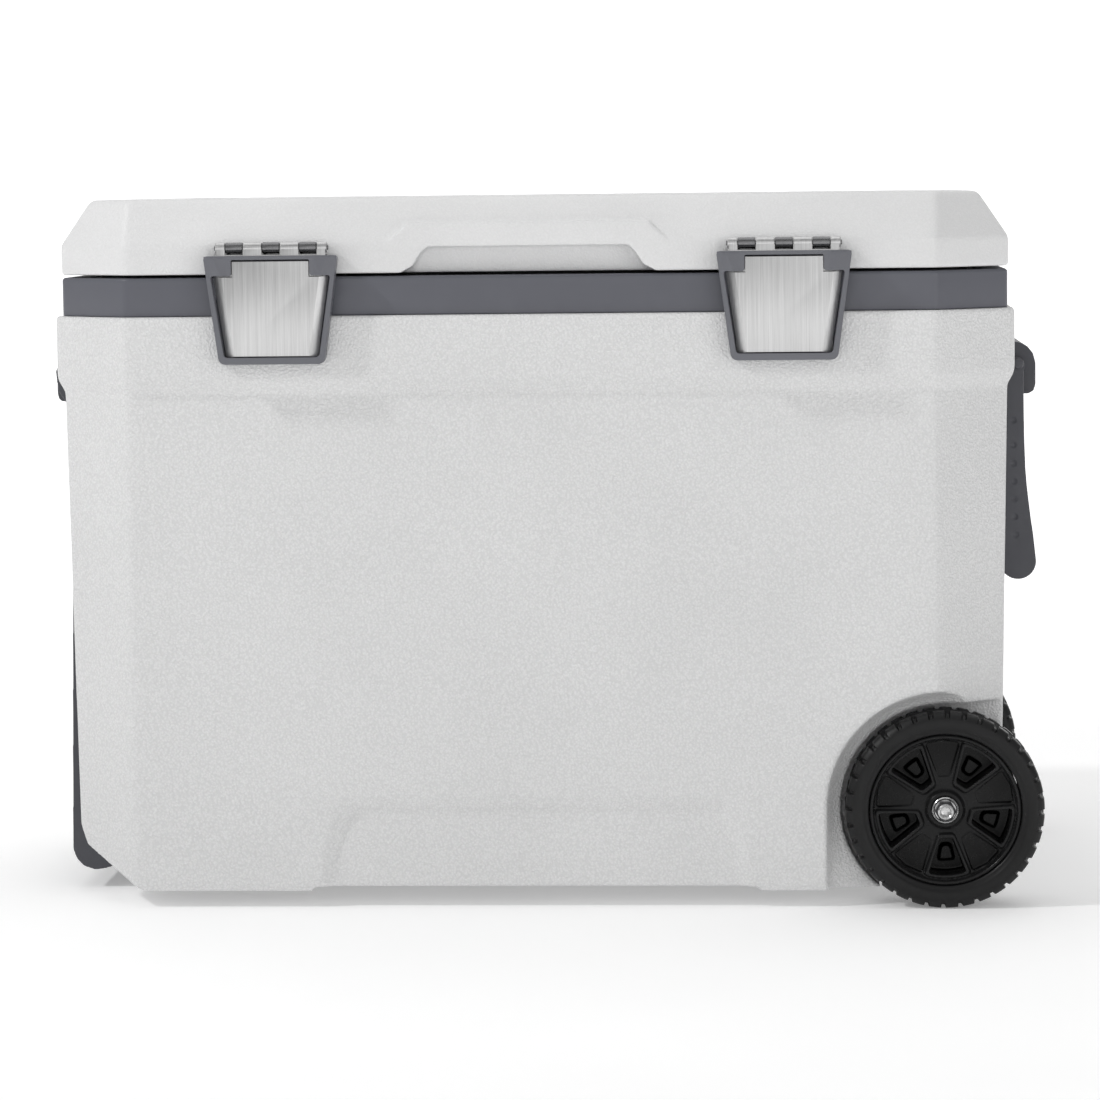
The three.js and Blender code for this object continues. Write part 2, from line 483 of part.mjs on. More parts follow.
const pinGeo = () => {
  const g = turned([[0, 0], [2.3, 0], [2.3, ARM_OUT - 72 + 0.6], [4.2, ARM_OUT - 72 + 0.6], [4.2, ARM_OUT - 72 + 2.2], [3.2, ARM_OUT - 72 + 3], [0, ARM_OUT - 72 + 3]], 12);
  return g;
};

// ---------------------------------------------------------------- drain, local frame: +Z outwards, Z = 0 at the pocket floor
const drainHousing = solid(turned([[0, -62], [11, -62], [11, 0.3], [17, 0.3], [17, 3], [15.5, 4.2], [0, 4.2]], 20)).subtract(solid(axial(8.4, -80, 20)));
const drainSeal = solid(axial(10.4, 4.5, 6)).subtract(solid(axial(8.2, 0, 20)));
const drainPlug = solid(turned([[0, -14], [7.6, -14], [7.9, 6.3], [12.5, 6.3], [12.5, 9], [11, 10.6], [4.6, 10.6], [4, 10.6], [0, 10.6]], 20)).add(solid(block(-2, 2, -10, 10, 9, 12.6)));

// ---------------------------------------------------------------- assembly
const root = new THREE.Group();
const cooler = new THREE.Group();
cooler.position.set(SHIFT_X, 0, 0);
root.add(cooler);

cooler.add(mesh('body_shell', geometry(shell), WHITE()));
cooler.add(mesh('body_foam', geometry(foam), FOAM()));
cooler.add(mesh('body_liner', geometry(liner), WHITE()));
cooler.add(mesh('collar_band', geometry(band), GREY()));

const lid = new THREE.Group();
cooler.add(lid);
lid.add(mesh('lid_shell', geometry(lidShell), WHITE()));
lid.add(mesh('lid_foam', geometry(lidFoam), FOAM()));
lid.add(mesh('lid_liner', geometry(lidLiner), WHITE()));
lid.add(mesh('lid_gasket', geometry(gasket), BLACK()));

for (const [side, x] of [['left', -LATCH_X], ['right', LATCH_X]]) {
  const g = new THREE.Group();
  g.position.set(x, 0, LIFT);
  cooler.add(g);
  g.add(mesh(`latch_${side}_leaf`, geometry(latchLeaf), STEEL()));
  g.add(mesh(`latch_${side}_pin`, geometry(latchPin), STEEL()));
  g.add(mesh(`latch_${side}_plate`, geometry(latchPlate), STEEL()));
  g.add(mesh(`latch_${side}_bezel`, geometry(bezel), GREY()));
  g.add(mesh(`keeper_${side}`, geometry(keeper), GREY()));
  for (const [n, sx] of [['a', -17], ['b', 17]]) {
    const s = mesh(`keeper_${side}_screw_${n}`, screw(3.6, 1.6, 1.9, 2.1), STEEL());
    s.position.set(sx, -215.25, 443.5);
    s.rotation.x = Math.PI / 2;
    g.add(s);
  }
}

for (const [side, x] of [['left', -HINGE_X], ['right', HINGE_X]]) {
  const g = new THREE.Group();
  g.position.set(x, 0, LIFT);
  cooler.add(g);
  g.add(mesh(`hinge_${side}_lid_leaf`, geometry(hingeLidLeaf), DARK()));
  g.add(mesh(`hinge_${side}_body_leaf`, geometry(hingeBodyLeaf), DARK()));
  g.add(mesh(`hinge_${side}_pin`, geometry(hingePin), STEEL()));
}

cooler.add(mesh('axle', rodY(AXLE_R, -(WHEEL_FACE + 3.6), WHEEL_FACE + 3.6, WHEEL_X, WHEEL_R, 24), STEEL()));
for (const [side, turn] of [['front', Math.PI / 2], ['rear', -Math.PI / 2]]) {
  const g = new THREE.Group();
  const s = side === 'front' ? -1 : 1;
  g.position.set(WHEEL_X, s * (WHEEL_FACE - WHEEL_W), WHEEL_R);
  g.rotation.x = turn;
  cooler.add(g);
  g.add(mesh(`wheel_${side}_tyre`, tyreGeo(), BLACK()));
  g.add(mesh(`wheel_${side}_rim`, geometry(rim), BLACK()));
  g.add(mesh(`wheel_${side}_bushing`, geometry(bushing), BLACK()));
  g.add(mesh(`wheel_${side}_washer`, geometry(washer), STEEL()));
  g.add(mesh(`wheel_${side}_nut`, geometry(nut), STEEL()));
}

// right end
const rightEnd = new THREE.Group();
cooler.add(rightEnd);
rightEnd.add(mesh('carry_handle_bracket', geometry(bracket(BRACKET_OUT_R)), DARK()));
rightEnd.add(mesh('carry_handle', geometry(carryHandle), DARK()));
// left end, turned round
const leftEnd = new THREE.Group();
leftEnd.rotation.z = Math.PI;
cooler.add(leftEnd);
leftEnd.add(mesh('tow_handle_bracket', geometry(bracket(BRACKET_OUT_L)), DARK()));
leftEnd.add(mesh('tow_handle', geometry(towHandle), DARK()));
for (const [end, name, out] of [[rightEnd, 'carry_handle', BRACKET_OUT_R], [leftEnd, 'tow_handle', BRACKET_OUT_L]]) {
  for (const [n, s] of [['a', -1], ['b', 1]]) {
    const p = mesh(`${name}_pin_${n}`, pinGeo(), STEEL());
    p.position.set(PIVOT_X, s * 72, PIVOT_Z);
    p.rotation.x = s > 0 ? -Math.PI / 2 : Math.PI / 2;
    end.add(p);
    const len = out - 4 - 372.6;
    const sc = mesh(`${name}_screw_${n}`, screw(4.2, 2.4, 2.2, len), STEEL());
    sc.position.set(372.6, s * 45, 408);
    sc.rotation.y = Math.PI / 2;
    end.add(sc);
  }
}

// drain in the left end
const drain = new THREE.Group();
drain.position.set(-352, 0, DRAIN_Z);
drain.rotation.y = -Math.PI / 2;
cooler.add(drain);
drain.add(mesh('drain_housing', geometry(drainHousing), DARK()));
drain.add(mesh('drain_seal', geometry(drainSeal), BLACK()));
drain.add(mesh('drain_plug', geometry(drainPlug), DARK()));

// feet under the left end
for (const [n, s] of [['front', -1], ['rear', 1]]) {
  const f = mesh(`foot_${n}`, turned([[0, 0], [13, 0], [14, 1.5], [15.5, Z_PAD - GAP], [0, Z_PAD - GAP]], 20), BLACK());
  f.position.set(FOOT_X, s * FOOT_Y, 0);
  cooler.add(f);
}

export default root;
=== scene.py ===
import bpy
import bmesh
import math
from mathutils import Matrix, Vector


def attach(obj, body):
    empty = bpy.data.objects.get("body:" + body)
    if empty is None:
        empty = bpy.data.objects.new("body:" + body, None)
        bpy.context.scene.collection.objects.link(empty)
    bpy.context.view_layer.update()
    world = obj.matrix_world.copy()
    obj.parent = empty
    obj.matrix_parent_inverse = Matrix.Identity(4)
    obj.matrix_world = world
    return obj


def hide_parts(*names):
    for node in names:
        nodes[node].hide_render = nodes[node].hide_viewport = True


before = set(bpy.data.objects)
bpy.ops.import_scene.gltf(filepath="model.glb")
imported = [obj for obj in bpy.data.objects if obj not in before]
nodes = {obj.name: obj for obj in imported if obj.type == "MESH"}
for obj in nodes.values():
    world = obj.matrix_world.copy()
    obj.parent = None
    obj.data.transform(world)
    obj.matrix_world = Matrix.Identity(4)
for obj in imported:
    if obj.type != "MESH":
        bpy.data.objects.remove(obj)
scene = bpy.context.scene
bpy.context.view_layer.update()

# ------------------------------------------------------------------ dimensions, millimetres, X = 0 at the tub's middle
SX = -3.7
HALF_L, HALF_W = 372.0, 215.0
FACET_X, FACET_Y = 62.0, 52.0
Z_PAD, Z_BELLY = 12.5, 16.0
Z_STEP0, Z_STEP1, Z_BODY = 400.8, 410.8, 460.0
Z_BAND0, Z_BAND1 = 460.3, 489.8
Z_LID0, Z_CREASE, Z_TOP = 492.0, 514.8, 549.8
LIFT = 2.8
WHEEL = (316.2, 166.0, 76.2)
ARCH_R, WELL_Y = 90.0, 158.0
LATCH_X, AXIS_Y, AXIS_Z = 195.0, -217.4, 512.3
PIVOT_X, PIVOT_Z = 377.4, 414.0
ARM_IN, ARM_OUT = 92.0, 112.0
F_LEN = math.hypot(FACET_X, FACET_Y)
NX, NY = FACET_Y / F_LEN, FACET_X / F_LEN
F_C = NX * (HALF_L - FACET_X) + NY * HALF_W
TAU = 2 * math.pi


# ------------------------------------------------------------------ mesh helpers
def build(name, verts, faces, at=None):
    if at is not None:
        verts = [at @ Vector(v) for v in verts]
    me = bpy.data.meshes.new(name)
    me.from_pydata([((v[0] + SX) * 0.001, v[1] * 0.001, v[2] * 0.001) for v in verts], [], faces)
    bm = bmesh.new()
    bm.from_mesh(me)
    bmesh.ops.recalc_face_normals(bm, faces=bm.faces)
    bm.to_mesh(me)
    bm.free()
    ob = bpy.data.objects.new(name, me)
    scene.collection.objects.link(ob)
    return ob


def rings(name, rs, at=None):
    """Closed rings of points joined in order, capped at both ends."""
    n = len(rs[0])
    verts = [p for r in rs for p in r]
    faces = []
    for k in range(len(rs) - 1):
        for i in range(n):
            j = (i + 1) % n
            faces.append((k * n + i, k * n + j, (k + 1) * n + j, (k + 1) * n + i))
    faces.append(tuple(range(n))[::-1])
    faces.append(tuple((len(rs) - 1) * n + i for i in range(n)))
    return build(name, verts, faces, at)


def along_y(pts, y0, y1, name="t", at=None):
    return rings(name, [[(x, y0, z) for x, z in pts], [(x, y1, z) for x, z in pts]], at)


def along_x(pts, x0, x1, name="t", at=None):
    return rings(name, [[(x0, y, z) for y, z in pts], [(x1, y, z) for y, z in pts]], at)


def along_z(pts, z0, z1, name="t", at=None):
    return rings(name, [[(x, y, z0) for x, y in pts], [(x, y, z1) for x, y in pts]], at)


def box(x0, x1, y0, y1, z0, z1, name="t", at=None):
    return along_z([(x0, y0), (x1, y0), (x1, y1), (x0, y1)], z0, z1, name, at)


def circle(r, n, cx=0.0, cy=0.0, a0=0.0):
    return [(cx + r * math.cos(a0 + TAU * i / n), cy + r * math.sin(a0 + TAU * i / n)) for i in range(n)]


def rod_x(r, x0, x1, y, z, n=32, name="t", at=None):
    return along_x(circle(r, n, y, z), x0, x1, name, at)


def rod_y(r, y0, y1, x, z, n=32, name="t", at=None):
    return along_y(circle(r, n, x, z), y0, y1, name, at)


def lathe(name, prof, n, at=None):
    """Profile of (radius, height) turned about local Z; starts and ends on the axis, or closes on itself."""
    closed = prof[0] == prof[-1]
    pr = prof[:-1] if closed else prof
    verts, idx = [], []
    for r, t in pr:
        if r < 1e-6:
            idx.append([len(verts)] * n)
            verts.append((0, 0, t))
        else:
            idx.append(list(range(len(verts), len(verts) + n)))
            verts += [(r * math.cos(TAU * i / n), r * math.sin(TAU * i / n), t) for i in range(n)]
    faces = []
    m = len(pr)
    for k in range(m if closed else m - 1):
        a, b = idx[k], idx[(k + 1) % m]
        for i in range(n):
            j = (i + 1) % n
            f = []
            for v in (a[i], a[j], b[j], b[i]):
                if v not in f:
                    f.append(v)
            if len(f) > 2:
                faces.append(tuple(f))
    return build(name, verts, faces, at)


def bake(ob):
    bpy.context.view_layer.update()
    dg = bpy.context.evaluated_depsgraph_get()
    me = bpy.data.meshes.new_from_object(ob.evaluated_get(dg), preserve_all_data_layers=False, depsgraph=dg)
    old = ob.data
    ob.modifiers.clear()
    ob.data = me
    if old.users == 0:
        bpy.data.meshes.remove(old)
    return ob


def cut(ob, *others, op="DIFFERENCE", solver="MANIFOLD"):
    before = len(ob.data.vertices)
    for o in others:
        m = ob.modifiers.new("b", "BOOLEAN")
        m.operation = op
        m.solver = solver
        m.object = o
    bake(ob)
    if len(ob.data.vertices) in (0, before):
        print("BOOLEAN WITHOUT EFFECT", ob.name, before, len(ob.data.vertices))
    for o in others:
        bpy.data.objects.remove(o)
    return ob


def join(ob, *others):
    return cut(ob, *others, op="UNION")


def soften(ob, voxel, steps, ratio=0.3):
    """Rounds every edge: even mesh, smoothing, then fewer faces on the flat parts."""
    m = ob.modifiers.new("r", "REMESH")
    m.mode = "VOXEL"
    m.voxel_size = voxel * 0.001
    m = ob.modifiers.new("s", "SMOOTH")
    m.factor = 0.5
    m.iterations = steps
    bake(ob)
    if ratio and ratio < 1:
        m = ob.modifiers.new("d", "DECIMATE")
        m.ratio = ratio
        bake(ob)
    ob.data.shade_smooth()
    return ob


def crisp(ob, width, segments=2, angle=28):
    """Narrow rounded edges on a machined or pressed piece."""
    bm = bmesh.new()
    bm.from_mesh(ob.data)
    bmesh.ops.remove_doubles(bm, verts=bm.verts, dist=2e-6)
    bmesh.ops.dissolve_limit(bm, angle_limit=math.radians(0.6), verts=bm.verts, edges=bm.edges)
    bm.to_mesh(ob.data)
    bm.free()
    m = ob.modifiers.new("b", "BEVEL")
    m.width = width * 0.001
    m.segments = segments
    m.limit_method = "ANGLE"
    m.angle_limit = math.radians(angle)
    m.use_clamp_overlap = True
    bake(ob)
    ob.data.shade_smooth()
    ob.data.set_sharp_from_angle(angle=math.radians(40))
    return ob


def smooth(ob, angle=35):
    ob.data.shade_smooth()
    ob.data.set_sharp_from_angle(angle=math.radians(angle))
    return ob


def copied(ob, name, shift=(0, 0, 0), mirror_x=False):
    me = ob.data.copy()
    o = bpy.data.objects.new(name, me)
    scene.collection.objects.link(o)
    m = Matrix.Translation(Vector(shift) * 0.001)
    if mirror_x:
        m = m @ Matrix.Translation((2 * SX * 0.001, 0, 0)) @ Matrix.Scale(-1, 4, (1, 0, 0))
    me.transform(m)
    if mirror_x:
        me.flip_normals()
    return o


def node_copy(node):
    o = bpy.data.objects.new("t", nodes[node].data.copy())
    scene.collection.objects.link(o)
    bm = bmesh.new()
    bm.from_mesh(o.data)
    bmesh.ops.remove_doubles(bm, verts=bm.verts, dist=1e-6)
    bm.to_mesh(o.data)
    bm.free()
    return o


def plan(dx, dy=None, df=None):
    dy = dx if dy is None else dy
    df = dy * NY if df is None else df
    hx, hy, c = HALF_L - dx, HALF_W - dy, F_C - df
    x1, y1 = (c - NY * hy) / NX, (c - NX * hx) / NY
    return [(x1, -hy), (hx, -y1), (hx, y1), (x1, hy), (-x1, hy), (-hx, y1), (-hx, -y1), (-x1, -hy)]


def fillet(pts, r, n=4):
    """Rounds the corners of a closed outline; r is one radius or one per corner."""
    out = []
    m = len(pts)
    for i in range(m):
        a, b, c = Vector(pts[i - 1]), Vector(pts[i]), Vector(pts[(i + 1) % m])
        rr = r[i] if isinstance(r, (list, tuple)) else r
        u, v = (a - b), (c - b)
        lu, lv = u.length, v.length
        u.normalize(); v.normalize()
        th = math.acos(max(-1, min(1, u.dot(v))))
        t = min(rr / math.tan(th / 2), 0.48 * lu, 0.48 * lv) if th < math.pi - 1e-4 else 0
        if t < 1e-4:
            out.append(tuple(b))
            continue
        p0, p1 = b + u * t, b + v * t
        # circle through both tangent points
        h = t * math.tan(th / 2)
        w = (u + v).normalized()
        cen = b + w * math.hypot(t, h)
        a0 = math.atan2(*(p0 - cen).yx)
        a1 = math.atan2(*(p1 - cen).yx)
        while a1 - a0 > math.pi: a1 -= TAU
        while a1 - a0 < -math.pi: a1 += TAU
        for k in range(n + 1):
            q = a0 + (a1 - a0) * k / n
            out.append((cen.x + h * math.cos(q), cen.y + h * math.sin(q)))
    return out


def eased(ctrl, n=4):
    """Levels (z, dx, dy, df, t) with the corners of the side profile rounded over a length t."""
    out = []
    for i, c in enumerate(ctrl):
        p, t = c[:4], c[4]
        if i in (0, len(ctrl) - 1) or t <= 0:
            out.append(p); continue
        ends = []
        for q in (ctrl[i - 1][:4], ctrl[i + 1][:4]):
            glow_distance = math.hypot(q[0] - p[0], q[1] - p[1])
            k = min(t / glow_distance, 0.48)
            ends.append([u + (w - u) * k for u, w in zip(p, q)])
        for k in range(n + 1):
            s = k / n
            out.append(tuple(u * (1 - s) ** 2 + w * 2 * s * (1 - s) + x * s * s for u, w, x in zip(ends[0], p, ends[1])))
    return out


def tower(name, ctrl, radius, n=5, steps=4):
    return rings(name, [[(x, y, z) for x, y in fillet(plan(dx, dy, df), radius, n)] for z, dx, dy, df in eased(ctrl, steps)])


# ------------------------------------------------------------------ materials
def nodes_of(name, color, metallic=0.0, rough=0.5):
    m = bpy.data.materials.new(name)
    m.use_nodes = True
    nt = m.node_tree
    b = nt.nodes["Principled BSDF"]
    b.inputs["Base Color"].default_value = (*color, 1)
    b.inputs["Metallic"].default_value = metallic
    b.inputs["Roughness"].default_value = rough
    tc = nt.nodes.new("ShaderNodeTexCoord")
    return m, nt, b, tc.outputs["Object"]


def add(nt, kind, **kw):
    n = nt.nodes.new(kind)
    for k, v in kw.items():
        setattr(n, k, v)
    return n


def noise(nt, vec, scale, detail=4, rough=0.55, stretch=None):
    if stretch:
        mp = add(nt, "ShaderNodeMapping")
        mp.inputs["Scale"].default_value = stretch
        nt.links.new(vec, mp.inputs["Vector"])
        vec = mp.outputs["Vector"]
    n = add(nt, "ShaderNodeTexNoise")
    n.inputs["Scale"].default_value = scale
    n.inputs["Detail"].default_value = detail
    n.inputs["Roughness"].default_value = rough
    nt.links.new(vec, n.inputs["Vector"])
    return n.outputs["Fac"]


def ramp(nt, fac, a, b, lo=0.3, hi=0.7):
    r = add(nt, "ShaderNodeMapRange")
    r.inputs["From Min"].default_value = lo
    r.inputs["From Max"].default_value = hi
    r.inputs["To Min"].default_value = a
    r.inputs["To Max"].default_value = b
    nt.links.new(fac, r.inputs["Value"])
    return r.outputs["Result"]


def tint(nt, fac, c0, c1, lo=0.3, hi=0.7):
    r = add(nt, "ShaderNodeValToRGB")
    r.color_ramp.elements[0].position = lo
    r.color_ramp.elements[1].position = hi
    r.color_ramp.elements[0].color = (*c0, 1)
    r.color_ramp.elements[1].color = (*c1, 1)
    nt.links.new(fac, r.inputs["Fac"])
    return r.outputs["Color"]


def bump(nt, b, height, distance, strength=1.0, under=None):
    n = add(nt, "ShaderNodeBump")
    n.inputs["Distance"].default_value = distance
    n.inputs["Strength"].default_value = strength
    nt.links.new(height, n.inputs["Height"])
    if under is not None:
        nt.links.new(under, n.inputs["Normal"])
    nt.links.new(n.outputs["Normal"], b.inputs["Normal"])
    return n.outputs["Normal"]


def scaled(c, k):
    return tuple(v * k for v in c)


def grained_plastic(name, color, rough, cell=2.4, depth=0.16, spread=0.03, pit_shade=0.1):
    """Moulded plastic with a pebbled leather grain of the given cell size in mm."""
    m, nt, b, v = nodes_of(name, color, 0, rough)
    warp = add(nt, "ShaderNodeVectorMath", operation="MULTIPLY_ADD")
    nz = add(nt, "ShaderNodeTexNoise")
    nz.inputs["Scale"].default_value = 420
    nt.links.new(v, nz.inputs["Vector"])
    nt.links.new(nz.outputs["Color"], warp.inputs[0])
    warp.inputs[1].default_value = (0.0016, 0.0016, 0.0016)
    nt.links.new(v, warp.inputs[2])
    vo = add(nt, "ShaderNodeTexVoronoi", feature="SMOOTH_F1")
    vo.inputs["Scale"].default_value = 1000.0 / cell
    vo.inputs["Smoothness"].default_value = 0.35
    nt.links.new(warp.outputs["Vector"], vo.inputs["Vector"])
    h = ramp(nt, vo.outputs["Distance"], 1.0, 0.0, 0.0, 0.75)
    n1 = bump(nt, b, h, depth * 0.001)
    fine = noise(nt, v, 1500, 3)
    bump(nt, b, fine, 0.00004, 1.0, n1)
    big = noise(nt, v, 7, 3)
    shade = add(nt, "ShaderNodeVectorMath", operation="SCALE")
    nt.links.new(tint(nt, big, scaled(color, 1 - spread), scaled(color, 1 + spread * 0.6)), shade.inputs[0])
    # painted shade and highlight: colour darkened in the grain's valleys and lightened on its pebble tops, following
    # the bump's cells
    nt.links.new(ramp(nt, vo.outputs["Distance"], 1.0 + pit_shade * 0.3, 1.0 - pit_shade, 0.15, 0.7), shade.inputs["Scale"])
    nt.links.new(shade.outputs["Vector"], b.inputs["Base Color"])
    nt.links.new(ramp(nt, noise(nt, v, 60, 4), rough - 0.06, rough + 0.08), b.inputs["Roughness"])
    return m


def satin_plastic(name, color, rough, spread=0.05, depth=0.03, scale=900, coat=0.0, spec=0.5, painted_shade_depths=None):
    """Smooth moulded plastic with a fine satin texture and faint handling marks; painted_shade_depths paints shade on
    every surface nearer the middle plane than that depth range.
    """
    m, nt, b, v = nodes_of(name, color, 0, rough)
    b.inputs["Specular IOR Level"].default_value = spec
    f = noise(nt, v, scale, 4, 0.6)
    bump(nt, b, f, depth * 0.001)
    col = tint(nt, noise(nt, v, 11, 4), scaled(color, 1 - spread), scaled(color, 1 + spread))
    # painted shade: the colour drops to 0.12 of itself where |object Y| is below the given range, darkening recess
    # floors as if they were shaded
    if painted_shade_depths:
        xyz = add(nt, "ShaderNodeSeparateXYZ")
        nt.links.new(v, xyz.inputs[0])
        off = add(nt, "ShaderNodeMath", operation="ABSOLUTE")
        nt.links.new(xyz.outputs["Y"], off.inputs[0])
        shade = add(nt, "ShaderNodeVectorMath", operation="SCALE")
        nt.links.new(col, shade.inputs[0])
        nt.links.new(ramp(nt, off.outputs[0], 0.12, 1.0, *painted_shade_depths), shade.inputs["Scale"])
        col = shade.outputs["Vector"]
    nt.links.new(col, b.inputs["Base Color"])
    nt.links.new(ramp(nt, noise(nt, v, 85, 5, 0.65), rough - 0.07, rough + 0.1), b.inputs["Roughness"])
    if coat:
        b.inputs["Coat Weight"].default_value = coat
        b.inputs["Coat Roughness"].default_value = 0.25
    return m


def brushed(name, color, rough):
    """Steel brushed along Z."""
    m, nt, b, v = nodes_of(name, color, 1.0, rough)
    s1 = noise(nt, v, 1500, 6, 0.75, (1, 1, 0.010))
    s2 = noise(nt, v, 420, 5, 0.7, (1, 1, 0.014))
    mix = add(nt, "ShaderNodeMath", operation="MULTIPLY_ADD")
    nt.links.new(s1, mix.inputs[0])
    mix.inputs[1].default_value = 0.6
    half = add(nt, "ShaderNodeMath", operation="MULTIPLY")
    nt.links.new(s2, half.inputs[0])
    half.inputs[1].default_value = 0.4
    nt.links.new(half.outputs[0], mix.inputs[2])
    nt.links.new(tint(nt, mix.outputs[0], scaled(color, 0.80), scaled(color, 1.10), 0.38, 0.62), b.inputs["Base Color"])
    nt.links.new(ramp(nt, mix.outputs[0], rough - 0.05, rough + 0.12), b.inputs["Roughness"])
    b.inputs["Anisotropic"].default_value = 0.5
    bump(nt, b, s1, 0.000012)
    return m


def bright(name, color, rough):
    m, nt, b, v = nodes_of(name, color, 1.0, rough)
    nt.links.new(tint(nt, noise(nt, v, 220, 4), scaled(color, 0.9), scaled(color, 1.04)), b.inputs["Base Color"])
    nt.links.new(ramp(nt, noise(nt, v, 600, 5, 0.7), rough - 0.05, rough + 0.12), b.inputs["Roughness"])
    bump(nt, b, noise(nt, v, 1300, 3), 0.000008)
    return m


WHITE = grained_plastic("white grained shell", (0.755, 0.755, 0.757), 0.46, 1.9, 0.55, 0.03, 0.11)
LIDW = grained_plastic("white lid", (0.75, 0.75, 0.752), 0.46, 1.7, 0.2, 0.03, 0.035)
LINERW = satin_plastic("white liner", (0.74, 0.745, 0.75), 0.32, 0.02, 0.02, 500)
BAND = satin_plastic("band grey", (0.100, 0.103, 0.122), 0.38, 0.05, 0.02, 700)
BEZEL = satin_plastic("bezel grey", (0.125, 0.128, 0.145), 0.36, 0.06, 0.02, 900)
HANDLE = satin_plastic("handle grey", (0.054, 0.055, 0.065), 0.44, 0.08, 0.05, 800)
STEEL = brushed("brushed steel", (0.57, 0.57, 0.57), 0.33)
BRIGHT = bright("bright steel", (0.62, 0.62, 0.62), 0.22)
DIM = bright("zinc plated steel", (0.20, 0.20, 0.205), 0.26)
DARKZ = bright("blackened steel", (0.05, 0.05, 0.052), 0.3)
TYRE = satin_plastic("tyre", (0.0075, 0.0075, 0.0078), 0.42, 0.2, 0.09, 650, 0.0, 0.28)
# painted shade on the rim: faces nearer the middle plane than 0.196 to 0.2 m (the window floors and islands) are
# darkened
RIM = satin_plastic("rim", (0.012, 0.012, 0.0123), 0.27, 0.2, 0.03, 500, 0.0, 0.2, (0.196, 0.2))
RUBBER = satin_plastic("rubber", (0.02, 0.02, 0.02), 0.6, 0.15, 0.05, 600)


def foam_mat():
    m, nt, b, v = nodes_of("foam", (0.72, 0.64, 0.40), 0, 0.9)
    vo = add(nt, "ShaderNodeTexVoronoi", feature="F1")
    vo.inputs["Scale"].default_value = 700
    nt.links.new(v, vo.inputs["Vector"])
    bump(nt, b, vo.outputs["Distance"], 0.0006)
    nt.links.new(tint(nt, noise(nt, v, 30, 4), (0.66, 0.58, 0.34), (0.76, 0.68, 0.45)), b.inputs["Base Color"])
    return m


FOAM = foam_mat()


def dress(ob, mat):
    ob.data.materials.clear()
    ob.data.materials.append(mat)


def put(ob, node, body, mat):
    ob.name = "v_" + node
    ob.data.name = ob.name
    dress(ob, mat)
    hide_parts(node)
    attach(ob, body)
    return ob


# ------------------------------------------------------------------ body shell
def arch_pts(r=ARCH_R, n=40):
    cx, cz = WHEEL[0], WHEEL[2]
    pts = [(cx - r, -8)]
    pts += [(cx + r * math.cos(math.pi - math.pi / 2 * i / n), cz + r * math.sin(math.pi - math.pi / 2 * i / n)) for i in range(n + 1)]
    return pts + [(HALF_L + 30, cz + r), (HALF_L + 30, -8)]


def skirt(sign):
    lv = []
    for z, o, deep in ((-8, 174, 197), (45, 167.5, 197), (62, 163, 197), (72, 159, 197), (78, 155.5, 197.4), (83, 151, 199.6), (87, 145, 202.4), (92, 134, 206.4)):
        inner = o - (203.2 - deep) / 6.2 * 14
        lv.append([(x, sign * y, z) for x, y in ((-o - 38, 220), (-inner, deep), (inner, deep), (o + 38, 220))])
    return rings("t", lv)


def tub(o, ztop, r=10, extra=0.0):
    d = 46 - o
    lv = []
    for z, a, b, c in ((66 - o, 14, 13, 10), (82, 6, 6, 3), (ztop, 0, 0, -3)):
        lv.append([(x, y, z) for x, y in fillet(plan(d + a, d + b, d + c), r, 6)])
    t = rings("t", lv)
    return cut(t, box(208 + o, HALF_L, -HALF_W, HALF_W, 0, 190 - o))


body = tower("body", [
    (Z_PAD, 34, 33, 25, 0), (Z_PAD, 11.0, 13.7, 9.2, 5), (Z_STEP0, 5.6, 7, 5.36, 2.2), (Z_STEP1, 0, 0, 0, 4.5),
    (Z_BODY, 0, 0, 0, 1.6), (Z_BODY, 6, 6, 4.6, 0)], 8)
cut(body, box(-174, 174, -HALF_W - 5, HALF_W + 5, -5, Z_BELLY))
face_y = HALF_W - 12.6
cx, cz, well_r = WHEEL[0], WHEEL[2], 79.8
well = [(cx + well_r * math.cos(math.radians(q)), cz + well_r * math.sin(math.radians(q))) for q in range(90, 271, 4)] + [(cx, -8), (HALF_L + 30, -8), (HALF_L + 30, cz + well_r)]
for s in (-1, 1):
    cove = ((HALF_W + 12, 2.2), (face_y + 1.2, 1.6), (face_y - 1.0, 0.9), (face_y - 5.0, -0.2), (face_y - 10.0, -1.8), (face_y - 14.0, -4.2), (face_y - 16.6, -7.6), (face_y - 18.2, -12), (face_y - 18.8, -20))
    cut(body, rings("t", [[(x, s * y, z) for x, z in arch_pts(ARCH_R + g)] for y, g in cove]))
    cut(body, along_y(well, min(s * (HALF_W + 10), s * WELL_Y), max(s * (HALF_W + 10), s * WELL_Y)))
cut(body, along_y([(-HALF_L - 30, -8), (-306, -8), (-306, Z_PAD - 0.01), (-355.5, 44), (-364, 66), (-HALF_L - 30, 106)], -HALF_W - 10, HALF_W + 10))
pk = [(-HALF_L - 20, -118), (-352, -116), (-352, 116), (-HALF_L - 20, 118)]
pk2 = [(-HALF_L - 20, -118), (-366, -117), (-366, 117), (-HALF_L - 20, 118)]
cut(body, rings("t", [[(x, y, -8) for x, y in pk], [(x, y, 394.8) for x, y in pk], [(x, y, 405.8) for x, y in pk2]]))
cut(body, skirt(-1))
cut(body, skirt(1))
cut(body, rod_y(6.4, -HALF_W, HALF_W, WHEEL[0], WHEEL[2]))
soften(body, 1.9, 3, 0.22)
cut(body, node_copy("body_foam"))
cut(body, tub(3.8, Z_BODY + 8))
cut(body, rod_x(11.3, -HALF_L, -300, 0, 80))
smooth(body, 40)
put(body, "body_shell", "cabinet", WHITE)

